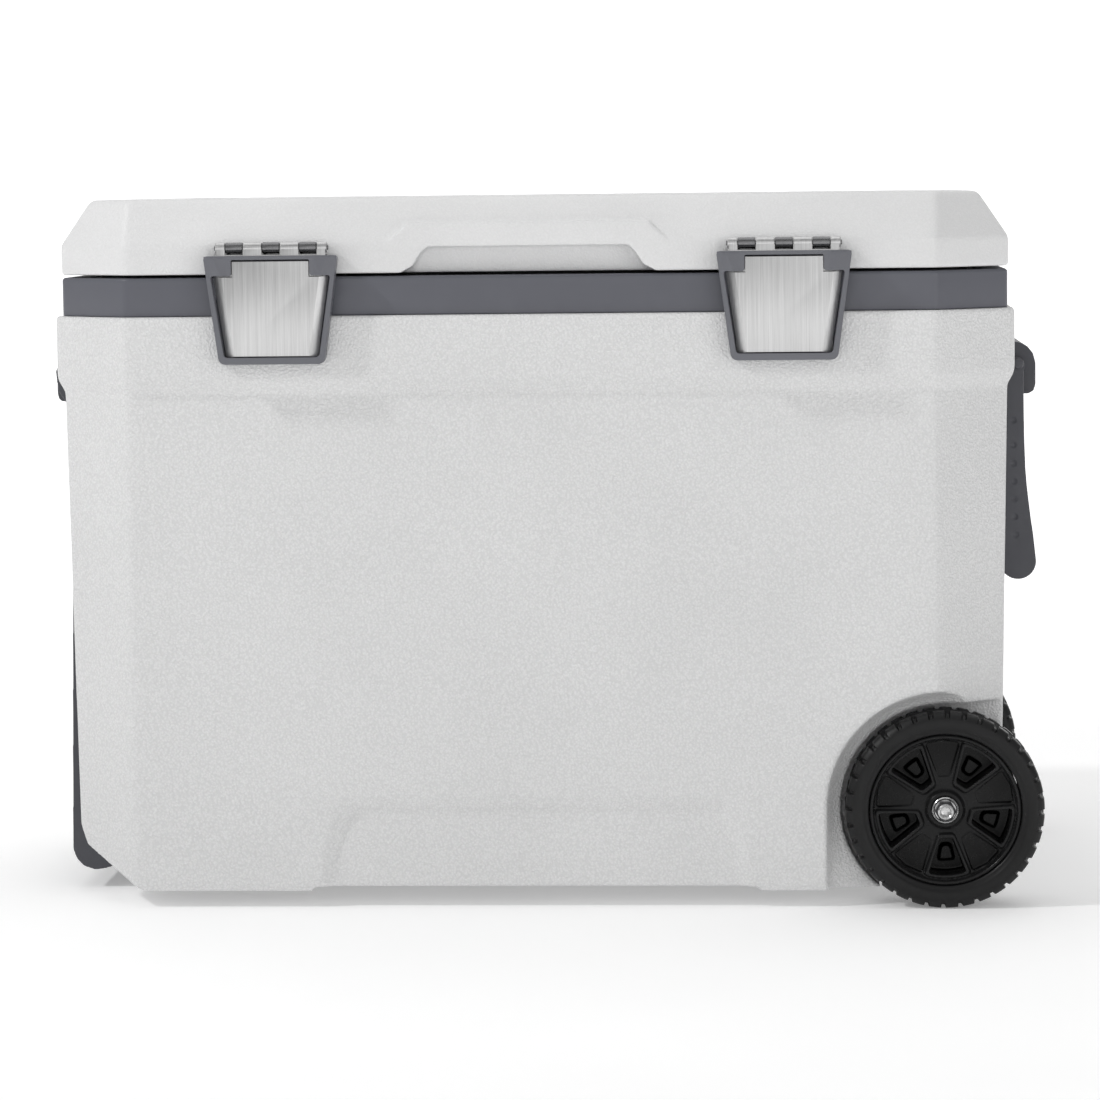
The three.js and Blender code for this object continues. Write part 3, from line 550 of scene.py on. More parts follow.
# ------------------------------------------------------------------ liner
liner = rings("liner", [[(x, y, z) for x, y in fillet(plan(31.3), 9, 5)] for z in (Z_BAND1 - 3, Z_BAND1)])
join(liner, tub(3, Z_BAND1 - 1, 13))
inner = tub(0, Z_BAND1 + 12, 12)
soften(inner, 3.0, 10, 0.3)
cut(inner, box(-500, 500, -300, 300, Z_BAND1 + 6, Z_BAND1 + 40))
cut(liner, inner)
cut(liner, rod_x(11.3, -HALF_L, -300, 0, 80))
smooth(liner, 30)
put(liner, "body_liner", "cabinet", LINERW)

# ------------------------------------------------------------------ band
band = tower("band", [(Z_BAND0, 12, 12, 9.2, 0), (Z_BAND0, 5.5, 5.5, 4.2, 0.8), (Z_BAND1 - 1.5, 5.5, 5.5, 4.2, 1.0), (Z_BAND1, 7, 7, 5.4, 0.8), (Z_BAND1, 14, 14, 10.7, 0)], 8)
cut(band, rings("t", [[(x, y, z) for x, y in plan(31)] for z in (Z_BAND0 - 2, Z_BAND1 + 2)]))
smooth(band, 30)
put(band, "collar_band", "cabinet", BAND)

# ------------------------------------------------------------------ lid
LD, LT = 4.8, 28.5
lid = tower("lid", [
    (Z_LID0, 14, 14, 10.7, 0), (Z_LID0, LD, LD, LD * NY, 1.6), (Z_CREASE, LD, LD, LD * NY, 2.6),
    (Z_TOP, LT, LT, LT * NY, 4.5), (Z_TOP, LT + 20, LT + 20, (LT + 20) * NY, 0)], 10)
pf = -(HALF_W - LD)
pad = [(Z_CREASE - 4, 106, pf), (Z_CREASE + 2, 106, pf), (530.4, 92, pf + 1.5)]
join(lid, rings("t", [[(-w, y, z), (w, y, z), (w, pf + 24, z), (-w, pf + 24, z)] for z, w, y in pad]))


def notch(o):
    p = [(-104 - o, Z_LID0 - 12), (104 + o, Z_LID0 - 12), (96 + o, Z_LID0 + 1), (88 + o, Z_LID0 + 5), (82 + o, 506.6 + o), (76, 512 + o),
         (-76, 512 + o), (-82 - o, 506.6 + o), (-88 - o, Z_LID0 + 5), (-96 - o, Z_LID0 + 1)]
    return along_y(p, -HALF_W - 10, -196 + o)


cut(lid, notch(0))
tray = [[(x, y, z) for x, y in fillet([(-w, -h), (w, -h), (w, h), (-w, h)], r, 8)] for z, w, h, r in ((Z_TOP - 3, 300, 142, 26), (Z_TOP + 2, 304, 146, 30))]
cut(lid, rings("t", tray))
soften(lid, 1.6, 3, 0.2)
cav = rings("t", [[(x, y, z) for x, y in plan(d)] for z, d in ((Z_LID0 - 2, LD + 3.5), (Z_CREASE - 1, LD + 3.5), (Z_TOP - 6.5, LT + 2.5))])
cut(cav, notch(3.5))
cut(lid, cav)
smooth(lid, 40)
put(lid, "lid_shell", "lid", LIDW)

# ------------------------------------------------------------------ latches
def pan(front, foot, y_front, y_foot, r=0.0):
    a = [(x, y_foot, z) for x, z in foot]
    b = [(x, y_front, z) for x, z in front]
    return rings("t", [a, b])


BAR_R, PIN_R = 4.2, 2.0
FIX = [(-34.8, -21.7), (-6.6, 6.6), (21.7, 34.8)]
MOV = [(-42.7, -35.2), (-21.3, -7), (7, 21.3), (35.2, 42.7)]
NECK = AXIS_Y - BAR_R + 0.1
LB = -(HALF_W - LD) - 0.3
PLATE_Y = -226.2
L = LIFT


def knuckle(a, b, seg=32):
    k = rings("t", [[(x, AXIS_Y + rr * math.cos(TAU * i / seg), AXIS_Z + rr * math.sin(TAU * i / seg)) for i in range(seg)]
                    for x, rr in ((a, BAR_R - 0.45), (a + 0.45, BAR_R), (b - 0.45, BAR_R), (b, BAR_R - 0.45))])
    return k


leaf = box(-41.8, 41.8, LB - 1.8, LB, 493 + L, AXIS_Z, "leaf")
for a, b in MOV:
    cut(leaf, box(a - 0.4, b + 0.4, AXIS_Y - 9, LB + 1, AXIS_Z - BAR_R - 1, AXIS_Z + 9))
for a, b in FIX:
    join(leaf, knuckle(a, b))
    join(leaf, box(a, b, AXIS_Y, LB - 0.01, AXIS_Z - 3.2, AXIS_Z + 1))
cut(leaf, rod_x(PIN_R + 0.1, -70, 70, AXIS_Y, AXIS_Z))
crisp(leaf, 0.25, 2, 32)

pin = lathe("pin", [(0, -43.7), (1.6, -43.7), (2.0, -43.3), (2.0, 43.3), (1.6, 43.7), (0, 43.7)], 24,
            Matrix.Translation((0, AXIS_Y, AXIS_Z)) @ Matrix.Rotation(math.pi / 2, 4, "Y"))
smooth(pin)

plate = box(-41.8, 41.8, NECK, NECK + 1.6, 486 + L, AXIS_Z - 1, "plate")
for a, b in FIX:
    cut(plate, box(a - 0.4, b + 0.4, AXIS_Y - 9, AXIS_Y + 9, AXIS_Z - BAR_R - 1, AXIS_Z + 9))
for a, b in MOV:
    join(plate, knuckle(a, b))
cut(plate, rod_x(PIN_R + 0.1, -70, 70, AXIS_Y, AXIS_Z))
front = [(-29.3, 499.2 + L), (-29.3, 487.4 + L), (-37.2, 487.4 + L), (-28.4, 427.2 + L), (28.4, 427.2 + L), (37.2, 487.4 + L), (29.3, 487.4 + L), (29.3, 499.2 + L)]
foot = [(-29.3, 501 + L), (-29.3, 487.9 + L), (-44, 487.9 + L), (-35, 426 + L), (35, 426 + L), (44, 487.9 + L), (29.3, 487.9 + L), (29.3, 501 + L)]
hollow_f = [(x - math.copysign(1.6, x), z + (1.2 if z < 440 else -1.2 if z > 495 else 0)) for x, z in front]
hollow_b = [(x - math.copysign(1.6, x), z + (1.2 if z < 440 else -1.2 if z > 495 else 0)) for x, z in foot]
FOOT_Y = -222.4
shell_p = pan(front, foot, PLATE_Y, FOOT_Y)
join(shell_p, box(-29.2, 29.2, FOOT_Y - 0.8, NECK + 0.2, 486.4 + L, 500.6 + L))
hol = pan(hollow_f, hollow_b, PLATE_Y + 1.4, FOOT_Y + 0.4)
cut(hol, box(-60, 60, -260, -200, 486 + L, 530))
cut(shell_p, hol)
join(plate, shell_p)
crisp(plate, 0.4, 3, 20)

bz_out = fillet([(-51.3, 503.6 + L), (-40.2, 421 + L), (40.2, 421 + L), (51.3, 503.6 + L)], [2.6, 5.5, 5.5, 2.6], 6)
bezel = along_y(bz_out, -227.4, -215.9, "bezel")
for s in (-1, 1):
    a = [(s * 51.0, 503.4 + L), (s * 30.2, 503.4 + L), (s * 30.2, 488.2 + L), (s * 48.6, 488.2 + L)]
    b = [(s * 43.0, 501.6 + L, -228.6), (s * 30.4, 502.6 + L, -227.0), (s * 30.4, 488.5 + L, -227.0), (s * 38.6, 488.6 + L, -228.6)]
    join(bezel, rings("t", [[(x, -225.8, z) for x, z in a], [(x, -226.7, z) for x, z in a], [(x, y, z) for x, z, y in b]]))
hole_r = [0.6, 2.2, 1.4, 3.0, 3.0, 1.4, 2.2, 0.6]
hole_f = fillet([(-29.9, 499.9 + L), (-29.9, 488.4 + L), (-46.2, 488.4 + L), (-36.8, 426.9 + L), (36.8, 426.9 + L), (46.2, 488.4 + L), (29.9, 488.4 + L), (29.9, 499.9 + L)], hole_r, 5)
hole_b = fillet([(-29.7, 501.4 + L), (-29.7, 488.3 + L), (-45.2, 488.3 + L), (-36, 425.6 + L), (36, 425.6 + L), (45.2, 488.3 + L), (29.7, 488.3 + L), (29.7, 501.4 + L)], hole_r, 5)
cut(bezel, pan(hole_f, hole_b, -232, -219.9))
cut(bezel, box(-36.6, 36.6, -221.3, -200, 427 + L, 488 + L))
cut(bezel, box(-44.4, 44.4, NECK - 0.3, -200, 485.6 + L, 520 + L))
cut(bezel, box(-45.4, 45.4, NECK - 0.3, -200, 470 + L, 488 + L))
soften(bezel, 0.45, 3, 0.25)
smooth(bezel, 50)

for side, x in (("left", -LATCH_X), ("right", LATCH_X)):
    put(copied(leaf, "leaf", (x, 0, 0)), f"latch_{side}_leaf", "lid", DIM)
    put(copied(pin, "pin", (x, 0, 0)), f"latch_{side}_pin", "lid", DIM)
    put(copied(plate, "plate", (x, 0, 0)), f"latch_{side}_plate", f"latch_{side}", STEEL)
    put(copied(bezel, "bezel", (x, 0, 0)), f"latch_{side}_bezel", f"latch_{side}", BEZEL)
for o in (leaf, pin, plate, bezel):
    bpy.data.objects.remove(o)


# ------------------------------------------------------------------ wheels
def tyre(at, name):
    """Tyre with shoulder lugs, cross grooves and two grooves round the tread."""
    half = [(58.6, 5.0), (59.2, 3.9), (60.2, 3.2), (61.4, 2.9), (62.6, 1.7), (64.2, 0.9), (66.4, 0.5), (68.6, 0.55), (70.2, 0.9), (71.2, 1.3), (72.2, 1.9),
            (73.4, 2.8), (74.6, 3.9), (75.5, 5.2), (76.0, 6.6), (76.2, 8.2), (76.2, 12.5), (76.2, 15.2), (76.2, 16.0), (76.2, 17.6), (76.2, 18.4), (76.2, 22.0)]
    prof = half + [(r, 44 - t) for r, t in half[:-1]][::-1]
    fr = [0.0, 0.04, 0.20, 0.38, 0.56, 0.70, 0.74, 0.78, 0.86, 0.94]
    N = 36
    cols = [(k + f) / N * TAU for k in range(N) for f in fr]
    verts = []
    for r, t in prof:
        for c in cols:
            ph = (c / TAU * N + (0.5 if t < 22 else 0.0)) % 1.0
            g = 1.0 if 0.775 < ph < 0.965 else 0.0
            if 0.74 < ph <= 0.775: g = 0.5
            if ph >= 0.985 or ph < 0.005: g = 0.35
            w = max(0.0, min(1.0, (r - 71.6) / 1.4))
            mid = abs(t - 22)
            if mid < 5.5: w = 0.0
            d = 2.5 * g * w
            if 3.2 < mid < 6.2: d = max(d, 2.0)
            k = 1 - d / math.hypot(r, 0.0)
            tt = t
            if r > 71.6 and g > 0 and mid > 14:
                tt = t + (0.8 * g * w if t < 22 else -0.8 * g * w)
            verts.append((r * k * math.cos(c), r * k * math.sin(c), tt))
    n, m = len(cols), len(prof)
    faces = []
    for k in range(m):
        for i in range(n):
            j = (i + 1) % n
            a, b = k * n, ((k + 1) % m) * n
            faces.append((a + i, a + j, b + j, b + i))
    ob = build(name, verts, faces, at)
    return smooth(ob, 32)


def polar(r, deg):
    a = math.radians(deg)
    return (r * math.cos(a), r * math.sin(a))


def window(c, r0, r1, h0, h1, grow, n=8):
    """Rounded wedge outline about angle c, grown outwards by a length in mm."""
    pts = []
    for i in range(n + 1):
        q = -h1 + 2 * h1 * i / n
        pts.append(polar(r1 + grow, c + q + math.copysign(math.degrees(grow / r1), q) * abs(q) / h1))
    pts += [polar(r0 - grow, c + h0 + math.degrees(grow * 0.75 / r0)), polar(r0 - grow, c - h0 - math.degrees(grow * 0.75 / r0))]
    rr = [2.4] + [0.0] * (n - 1) + [2.4, 3.2, 3.2]
    return fillet(pts, rr, 4)


def rim(at, name):
    ob = lathe(name, [(0, 4), (58.2, 4), (58.2, 38.6), (57.6, 39.6), (56.4, 40), (55.4, 39.4), (54.8, 36), (54.2, 33), (52.0, 32.6), (16.2, 33.2),
                      (15.2, 33.8), (13.6, 36.4), (12.8, 37), (10.6, 37), (10.2, 36.4), (0, 36.4)], 96, at)
    for k in range(5):
        c = 56 + 72 * k
        o = window(c, 22.6, 51.2, 12.6, 16.4, 3.0)
        top = window(c, 22.6, 51.2, 12.6, 16.4, 2.1)
        join(ob, rings("t", [[(x, y, 28) for x, y in o], [(x, y, 34.2) for x, y in o], [(x, y, 35.8) for x, y in top]], at))
    for k in range(5):
        c = 92 + 72 * k
        p = fillet([polar(25.5, c - 10.0), polar(52.8, c - 14.6), polar(53.6, c), polar(52.8, c + 14.6), polar(25.5, c + 10.0)], [2, 2, 0, 2, 2], 4)
        cut(ob, rings("t", [[(x, y, 32.4 - (math.hypot(x, y) - 25) * 0.12) for x, y in p], [(x, y, 45) for x, y in p]], at))
    for k in range(5):
        c = 56 + 72 * k
        cut(ob, rings("t", [[(x, y, 12) for x, y in window(c, 23.4, 50.6, 12.0, 15.8, 0)], [(x, y, 44) for x, y in window(c, 22.6, 51.2, 12.6, 16.4, 0.3)]], at))
        join(ob, rings("t", [[(x, y, 10) for x, y in window(c, 29.5, 43, 7.5, 8.6, 0)], [(x, y, 17.5) for x, y in window(c, 31, 41.5, 6.2, 7.4, 0)]], at))
    for k in range(5):
        c = 56 + 72 * k
        cut(ob, rings("t", [[(x, y, -1) for x, y in window(c, 32.5, 40, 4.6, 5.8, 0)], [(x, y, 15.5) for x, y in window(c, 32.5, 40, 4.6, 5.8, 0)]], at))
    cut(ob, lathe("t", [(0, -5), (9.3, -5), (9.3, 50), (0, 50)], 48, at))
    return soften(ob, 0.62, 2, 0.35)


for side, s in (("front", -1), ("rear", 1)):
    at = Matrix.Translation((WHEEL[0], s * WHEEL[1], WHEEL[2])) @ Matrix.Rotation(-s * math.pi / 2, 4, "X")
    put(tyre(at, "tyre"), f"wheel_{side}_tyre", f"wheel_{side}", TYRE)
    put(rim(at, "rim"), f"wheel_{side}_rim", f"wheel_{side}", RIM)
    w = lathe("w", [(6.1, 38.6), (9.7, 38.6), (10.2, 39.0), (10.2, 39.7), (9.5, 40.4), (8.8, 40.3), (8.2, 39.9), (6.1, 39.9), (6.1, 38.6)], 64, at)
    put(smooth(w, 30), f"wheel_{side}_washer", "cabinet", BRIGHT)
    nut = along_z(circle(8.2, 6), 40.8, 46.0, "n", at)
    cut(nut, lathe("t", [(0, 30), (6.1, 30), (6.1, 60), (0, 60)], 32, at))
    cham = lathe("t", [(0, 40.5), (7.2, 40.5), (8.3, 41.3), (8.3, 45.2), (7.0, 46.1), (0, 46.1)], 48, at)
    cut(nut, cham, op="INTERSECT")
    put(crisp(nut, 0.15, 2, 30), f"wheel_{side}_nut", "cabinet", DARKZ)
ax = lathe("ax", [(0, -207.5), (3.6, -209.5), (4.3, -213.0), (5.0, -213.6), (6, -212.9), (6, 212.9), (5.0, 213.6), (4.3, 213.0), (3.6, 209.5), (0, 207.5)], 40,
           Matrix.Translation((WHEEL[0], 0, WHEEL[2])) @ Matrix.Rotation(math.pi / 2, 4, "X"))
put(smooth(ax, 35), "axle", "cabinet", BRIGHT)


# ------------------------------------------------------------------ end handles
def arc(cx, cz, r, a0, a1, n):
    return [(cx + r * math.cos(math.radians(a0 + (a1 - a0) * i / n)), cz + r * math.sin(math.radians(a0 + (a1 - a0) * i / n))) for i in range(n + 1)]


def handle(name, arm, bar):
    h = along_y(arm, -ARM_OUT, -ARM_IN, name)
    join(h, along_y(arm, ARM_IN, ARM_OUT))
    join(h, along_y(bar, -ARM_IN - 2, ARM_IN + 2))
    return h


carry_arm = [(366.4, 397), (365.4, 330), (363.2, 262)] + arc(377.4, 259, 14.2, 190, 360, 24) + [(389.2, 281), (387.4, 293), (385.8, 306), (384.3, 319), (383.2, 333), (382.2, 360), (381.8, 396)] \
    + arc(PIVOT_X, PIVOT_Z, 4.9, -10, 180, 16) + [(372.5, 406.5)]
carry = handle("carry", carry_arm, arc(377.4, 259, 12.4, 0, 350, 35))
# finger ridges on the inside of the grip
for i in range(9):
    y = -64 + 16 * i
    cut(carry, lathe("t", [(11.7, -2.2), (14.5, -3.4), (14.5, 3.4), (11.7, 2.2), (11.7, -2.2)], 40,
                     Matrix.Translation((377.4, y, 259)) @ Matrix.Rotation(math.pi / 2, 4, "X")))
for s in (-1, 1):
    for x, z in ((373.6, 370), (373.7, 350.6), (373.9, 336), (374.1, 322), (374.4, 308), (374.8, 294), (375.4, 280)):
        cut(carry, rod_y(2.6, s * 111.2, s * 118, x, z, 20))
soften(carry, 0.8, 3, 0.3)
cut(carry, rod_y(2.6, -120, 120, PIVOT_X, PIVOT_Z, 24))
put(smooth(carry, 45), "carry_handle", "carry_handle", HANDLE)

tow_arm = [(366.4, 399.4), (358.5, 391), (355.6, 382), (355.6, 300), (357.4, 60), (354, 42.5), (348, 35), (342, 30.5), (339, 26), (341, 20), (347, 16.8), (353.5, 15.2), (360, 14.7),
           (368.8, 17.8), (374.2, 24), (377, 31.5), (376.4, 60), (375.2, 120), (373.4, 200), (371.4, 300), (370.6, 378), (372, 385), (375.6, 391.5), (380.5, 399)] \
    + arc(PIVOT_X, PIVOT_Z, 4.9, -10, 180, 16) + [(372.5, 407)]
tow_bar = [(357, 56), (354, 42.5), (348, 35), (342, 30.5), (339, 26), (341, 20), (347, 16.8), (353.5, 15.2), (360, 14.7), (368.8, 17.8), (374.2, 24), (377, 31.5), (376.8, 44), (373.5, 52), (366, 57)]
tow = handle("tow", [(-x, z) for x, z in tow_arm], [(-x, z) for x, z in tow_bar])
for s in (-1, 1):
    # long recess in the outer face of each arm
    cut(tow, along_y([(-359.8, 350), (-366.6, 350), (-369.6, 90), (-361.2, 90)], s * 110.8, s * 118))
soften(tow, 1.0, 3, 0.3)
cut(tow, rod_y(2.6, -120, 120, -PIVOT_X, PIVOT_Z, 24))
put(smooth(tow, 45), "tow_handle", "tow_handle", HANDLE)


def bracket(name, out, sign):
    w = out - 372.3
    p = [(372.3, 389.7), (372.3 + w * 0.72, 389.7), (372.3 + w * 0.92, 392), (out, 397), (out, 414), (372.3 + w * 0.9, 421.5), (372.3 + w * 0.68, 427), (372.3 + w * 0.36, 430.3), (372.3, 431.1)]
    b = along_y([(sign * x, z) for x, z in p], -(ARM_IN - 0.6), ARM_IN - 0.6, name)
    for y in (-66, -24, 24, 66):
        d = 0.9
        cut(b, rings("t", [[(sign * x, yy, z) for x, z in ((out - d, 396), (out + 6, 396), (out + 6, 440), (out - d, 440))] for yy in (y - 1.2, y + 1.2)]))
    soften(b, 0.8, 3, 0.3)
    for s in (-1, 1):
        cut(b, rod_y(2.4, s * 70, s * (ARM_IN + 5), sign * PIVOT_X, PIVOT_Z, 24))
        cut(b, rod_x(2.4, min(sign * 360, sign * 400), max(sign * 360, sign * 400), s * 45, 408, 24))
        a, c = sign * (out - 4), sign * 412
        cut(b, rod_x(4.6, min(a, c), max(a, c), s * 45, 408, 24))
    return smooth(b, 45)


put(bracket("bracket", 392.4, 1), "carry_handle_bracket", "cabinet", HANDLE)
put(bracket("bracket", 385.0, -1), "tow_handle_bracket", "cabinet", HANDLE)


def cross_screw(at, head_r, head_h, shank_r, length):
    """Pan head screw with a cross recess; local Z points out of the surface, zero at the shank's tip."""
    L0 = length
    o = lathe("screw", [(0, 0), (shank_r * 0.6, 0), (shank_r, 0.4), (shank_r, L0), (head_r * 0.96, L0), (head_r, L0 + head_h * 0.25), (head_r * 0.9, L0 + head_h * 0.68), (head_r * 0.6, L0 + head_h * 0.95), (0, L0 + head_h)], 40, at)
    w, q = head_r * 0.16, head_r * 0.62
    z0 = L0 + head_h * 0.35
    c1 = box(-q, q, -w, w, z0, z0 + 9, "t", at)
    c2 = box(-w, w, -q, q, z0, z0 + 9, "t", at)
    cut(o, c1)
    cut(o, c2)
    return smooth(o, 30)


for name, out, sign in (("carry_handle", 392.4, 1), ("tow_handle", 385.0, -1)):
    for n, s in (("a", -1), ("b", 1)):
        ys = s * sign
        at = Matrix.Translation((sign * 372.6, ys * 45, 408)) @ Matrix.Rotation(sign * math.pi / 2, 4, "Y")
        put(cross_screw(at, 4.2, 2.4, 2.2, out - 4 - 372.6), f"{name}_screw_{n}", "cabinet", BRIGHT)
        at = Matrix.Translation((sign * PIVOT_X, ys * 72, PIVOT_Z)) @ Matrix.Rotation(-ys * math.pi / 2, 4, "X")
        e = ARM_OUT - 72
        p = lathe("p", [(0, 0), (1.9, 0), (2.3, 0.4), (2.3, e + 0.6), (4.0, e + 0.6), (4.2, e + 0.9), (4.2, e + 1.7), (3.6, e + 2.6), (2.4, e + 2.95), (0, e + 3)], 36, at)
        put(smooth(p, 35), f"{name}_pin_{n}", "cabinet", HANDLE)

# ------------------------------------------------------------------ keepers
for side, x in (("left", -LATCH_X), ("right", LATCH_X)):
    k = along_x([(-215.3, 428.6 + L), (-215.3, 449 + L), (-217.3, 449 + L), (-219.6, 440 + L), (-219.6, 428.6 + L)], x - 26, x + 26, "k")
    for sx in (-17, 17):
        cut(k, rod_y(2.1, -225, -210, x + sx, 443.5 + L, 24))
        cut(k, rod_y(3.9, -225, -217.1, x + sx, 443.5 + L, 24))
    put(crisp(k, 0.5, 3, 30), f"keeper_{side}", "cabinet", BEZEL)
    for n, sx in (("a", -17), ("b", 17)):
        at = Matrix.Translation((x + sx, -215.25, 443.5 + L)) @ Matrix.Rotation(math.pi / 2, 4, "X")
        put(cross_screw(at, 3.6, 1.6, 1.9, 2.1), f"keeper_{side}_screw_{n}", "cabinet", BRIGHT)

# ------------------------------------------------------------------ rear hinges
HX, HY, HZ, HB = 215.0, 224.0, 491.0, 4.6
HSEG = [(-45, -27.4), (-27, -9.2), (-8.8, 8.8), (9.2, 27), (27.4, 45)]
backLid = HALF_W - LD + 0.3


def hleaf(name, pts, own, other, cx, ribs):
    m = along_x([(y, z + L) for y, z in pts], cx - 45, cx + 45, name)
    for i in other:
        cut(m, box(cx + HSEG[i][0] - 0.4, cx + HSEG[i][1] + 0.4, HY - HB - 0.5, 260, HZ - HB - 0.5, HZ + HB + 0.5))
    for i in own:
        join(m, rod_x(HB, cx + HSEG[i][0], cx + HSEG[i][1], HY, HZ, 40))
    cut(m, rod_x(2.4, cx - 60, cx + 60, HY, HZ, 24))
    return crisp(m, 0.5, 3, 30)


HZ0 = HZ - L
lid_pts = [(backLid, 490), (backLid + 4, 489.2), (HY - 1, 489.2), (HY + 1, 492), (backLid + 5, 498), (backLid + 3, 511), (backLid, 511)]
body_pts = [(HALF_W + 0.3, 456), (HALF_W + 0.3, 432), (HALF_W + 3.4, 432), (HALF_W + 5, 470), (HY + 1, 484.5), (HY - 1, 486.8), (backLid + 0.8, 486.8), (backLid + 0.8, 457.8), (HALF_W + 0.3, 457.8)]
for side, x in (("left", -HX), ("right", HX)):
    put(hleaf("h", lid_pts, [1, 3], [0, 2, 4], x, 0), f"hinge_{side}_lid_leaf", "lid", HANDLE)
    put(hleaf("h", body_pts, [0, 2, 4], [1, 3], x, 0), f"hinge_{side}_body_leaf", "cabinet", HANDLE)
    p = lathe("p", [(0, -46.5), (1.7, -46.5), (2.3, -45.9), (2.3, 45.9), (1.7, 46.5), (0, 46.5)], 24, Matrix.Translation((x, HY, HZ)) @ Matrix.Rotation(math.pi / 2, 4, "Y"))
    put(smooth(p, 35), f"hinge_{side}_pin", "cabinet", BRIGHT)

# ------------------------------------------------------------------ drain
at = Matrix.Translation((-352, 0, 80)) @ Matrix.Rotation(-math.pi / 2, 4, "Y")
h = lathe("h", [(8.4, -62), (11, -62), (11, 0.3), (16.4, 0.3), (17, 0.9), (17, 2.6), (16.2, 3.7), (15, 4.2), (9.2, 4.2), (8.4, 3.6), (8.4, -62)], 64, at)
put(smooth(h, 30), "drain_housing", "cabinet", HANDLE)
p = lathe("p", [(0, -14), (7.0, -14), (7.6, -13.2), (7.9, 6.3), (12.1, 6.3), (12.5, 6.8), (12.5, 8.6), (12.0, 9.2), (10.6, 10.0), (4.6, 10.6), (0, 10.6)], 64, at)
for i in range(20):
    a = TAU * i / 20
    cut(p, along_z(circle(0.8, 12, 13.0 * math.cos(a), 13.0 * math.sin(a)), 5.5, 12, "t", at))
join(p, rings("t", [[(x, y, 9) for x, y in fillet([(-2.2, -10), (2.2, -10), (2.2, 10), (-2.2, 10)], 2.0, 4)], [(x, y, 12.2) for x, y in fillet([(-1.8, -9.6), (1.8, -9.6), (1.8, 9.6), (-1.8, 9.6)], 1.7, 4)], [(x, y, 12.6) for x, y in fillet([(-1.3, -9.1), (1.3, -9.1), (1.3, 9.1), (-1.3, 9.1)], 1.2, 4)]], at))
put(smooth(p, 32), "drain_plug", "drain_plug", HANDLE)
o = lathe("o", [(8.2 + 1.1 + 1.1 * math.cos(TAU * i / 16), 5.25 + 0.75 * math.sin(TAU * i / 16)) for i in range(16)] + [(8.2 + 2.2, 5.25)], 64, at)
put(smooth(o, 60), "drain_seal", "drain_plug", RUBBER)

# ------------------------------------------------------------------ feet
for n, s in (("front", -1), ("rear", 1)):
    t = Z_PAD - 0.3
    f = lathe("f", [(0, 0), (9, 0), (9.6, 0.0), (12.2, 0.15), (13, 0.9), (13.8, 2.4), (15.3, t), (0, t)], 48, Matrix.Translation((-292, s * 70, 0)))
    put(smooth(f, 30), f"foot_{n}", "cabinet", RUBBER)

# ------------------------------------------------------------------ lid underside and seal
plug = rings("plug", [[(x, y, z) for x, y in fillet(plan(46 + a, 46 + a, 46 + b), 12, 5)] for z, a, b in
                      ((Z_LID0 - 13, 14, 10), (Z_LID0 - 12.2, 12.6, 8.6), (Z_LID0 - 8, 7, 3), (Z_LID0 + 1, 6, 2))])
panel = rings("panel", [[(x, y, z) for x, y in plan(LD + 3.8)] for z in (Z_LID0, Z_LID0 + 3)])
cut(panel, notch(3.8))
join(panel, plug)
cut(panel, rings("t", [[(x, y, z) for x, y in fillet([(-w, -h), (w, -h), (w, h), (-w, h)], 24, 6)] for z, w, h in ((Z_LID0 - 20, 262, 108), (Z_LID0 - 10, 258, 104))]))
put(crisp(panel, 0.8, 2, 30), "lid_liner", "lid", LINERW)

gk = rings("gk", [[(x, y, z) for x, y in fillet(plan(a), 9, 5)] for z, a in ((Z_BAND1 + 0.3, 36.4), (Z_BAND1 + 0.7, 35.2), (Z_LID0 - 0.7, 35.4), (Z_LID0 - 0.3, 36.2))])
cut(gk, rings("t", [[(x, y, z) for x, y in fillet(plan(43), 8, 5)] for z in (Z_BAND1 - 2, Z_LID0 + 2)]))
put(smooth(gk, 30), "lid_gasket", "lid", RUBBER)

# ------------------------------------------------------------------ frame nodes that stay
for n in ("body_foam", "lid_foam"):
    dress(nodes[n], FOAM)
for n in ("wheel_front_bushing", "wheel_rear_bushing"):
    dress(nodes[n], RIM)

# ------------------------------------------------------------------ camera
cam_data = bpy.data.cameras.new("camera")
cam = bpy.data.objects.new("camera", cam_data)
scene.collection.objects.link(cam)
C = Vector((0.18699, -3.215, 0.55768))
yaw, pitch, roll = (math.radians(a) for a in (3.3504, -5.2869, 0.6494))
R = Matrix.Rotation(yaw, 3, "Z") @ Matrix.Rotation(pitch, 3, "X") @ Matrix.Rotation(roll, 3, "Y")
right, fwd, up = R.col[0], R.col[1], R.col[2]
M = Matrix.Identity(4)
for i in range(3):
    M[i][0], M[i][1], M[i][2], M[i][3] = right[i], up[i], -fwd[i], C[i]
cam.matrix_world = M
cam_data.sensor_width = 36
cam_data.sensor_fit = "HORIZONTAL"
cam_data.lens = 3946.32 * 36 / 1100
cam_data.clip_end = 100
scene.camera = cam

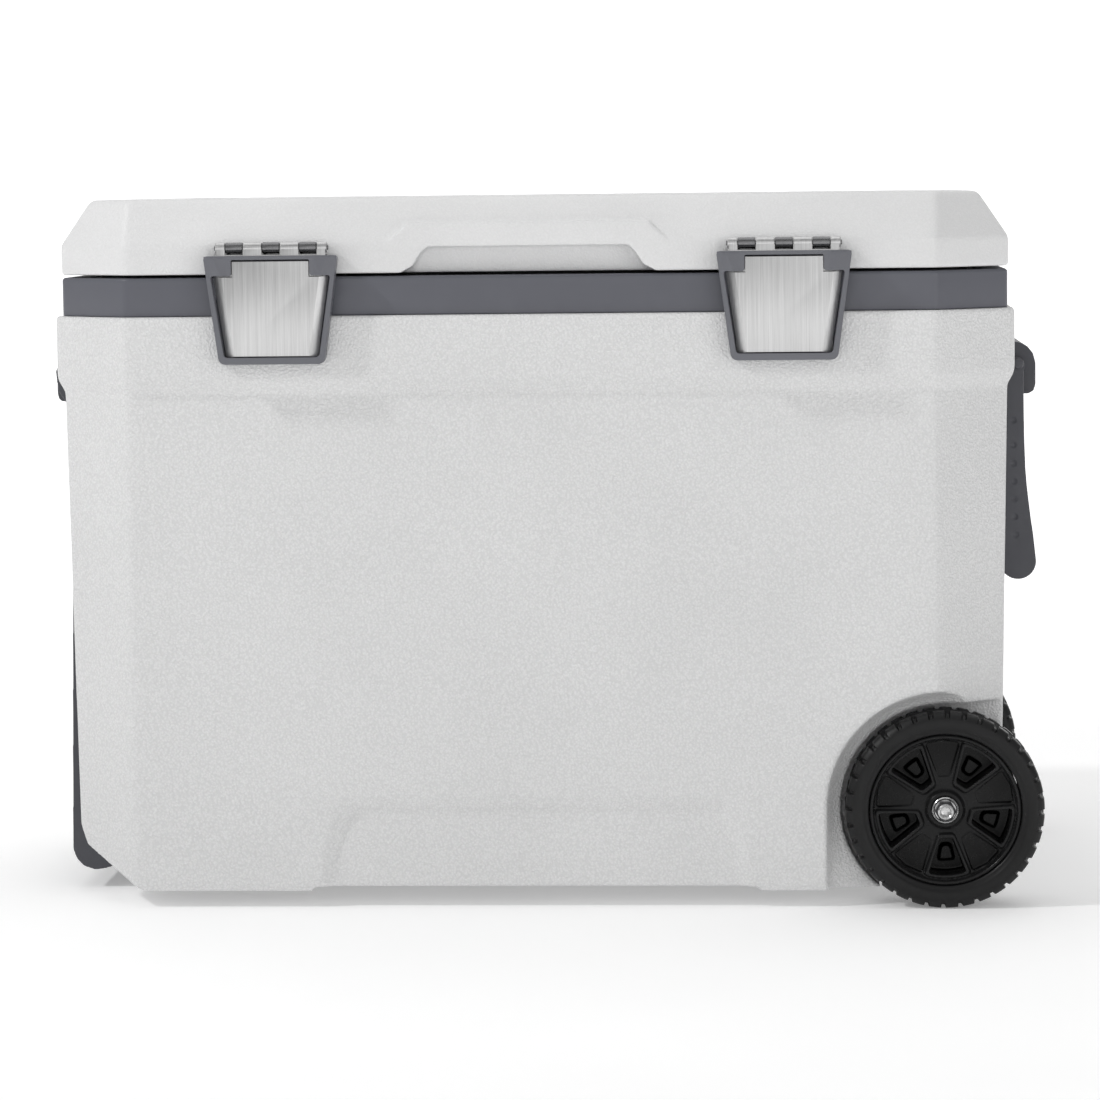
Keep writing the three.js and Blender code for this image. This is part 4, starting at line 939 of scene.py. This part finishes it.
# ------------------------------------------------------------------ stage and light
prof = [(-16.0, 0.0), (14.0, 0.0)] + [(14.0 + 3.0 * math.sin(math.radians(a)), 3.0 - 3.0 * math.cos(math.radians(a))) for a in range(6, 91, 6)] + [(17.0, 9.0)]
verts, faces = [], []
for y, z in prof:
    verts += [(-17, y, z), (17, y, z)]
for i in range(len(prof) - 1):
    faces.append((2 * i, 2 * i + 1, 2 * i + 3, 2 * i + 2))
me = bpy.data.meshes.new("floor")
me.from_pydata(verts, [], faces)
me.shade_smooth()
floor = bpy.data.objects.new("floor", me)
scene.collection.objects.link(floor)
fm, nt, b, v = nodes_of("studio paper", (0.93, 0.93, 0.93), 0, 0.9)
nt.links.new(tint(nt, noise(nt, v, 3, 2), (0.92, 0.92, 0.92), (0.94, 0.94, 0.94)), b.inputs["Base Color"])
# painted light: the floor and backdrop glow, at 0.2 near the object rising to 0.8 between 0.9 m and 3.2 m away, so the
# background reads white
glow_distance = add(nt, "ShaderNodeVectorMath", operation="LENGTH")
nt.links.new(v, glow_distance.inputs[0])
nt.links.new(ramp(nt, glow_distance.outputs["Value"], 0.20, 0.80, 0.9, 3.2), b.inputs["Emission Color"])
b.inputs["Emission Strength"].default_value = 1.0
me.materials.append(fm)


def area(name, loc, target, size, watts, color=(1, 1, 1), size_y=None):
    d = bpy.data.lights.new(name, "AREA")
    d.energy = watts
    d.color = color
    d.size = size
    if size_y:
        d.shape = "RECTANGLE"
        d.size_y = size_y
    o = bpy.data.objects.new(name, d)
    scene.collection.objects.link(o)
    o.location = loc
    o.rotation_euler = (Vector(target) - Vector(loc)).to_track_quat("-Z", "Y").to_euler()
    return o


area("key", (-2.9, -1.35, 3.05), (-0.1, -0.22, 0.42), 0.30, 56)
area("front", (0.3, -4.6, 1.5), (0, 0, 0.3), 3.2, 20)
area("right", (2.5, -2.75, 0.95), (0.1, 0, 0.3), 1.8, 13)
area("top", (0.0, 0.4, 3.3), (0, 0, 0.3), 3.4, 31)
area("backdrop", (0.0, 1.6, 3.4), (0, 3.6, 1.0), 3.6, 16)
w = bpy.data.worlds.new("studio")
w.use_nodes = True
w.node_tree.nodes["Background"].inputs["Color"].default_value = (1, 1, 1, 1)
w.node_tree.nodes["Background"].inputs["Strength"].default_value = 0.40
scene.world = w
scene.view_settings.view_transform = "Standard"
scene.view_settings.look = "None"
scene.view_settings.exposure = -0.08
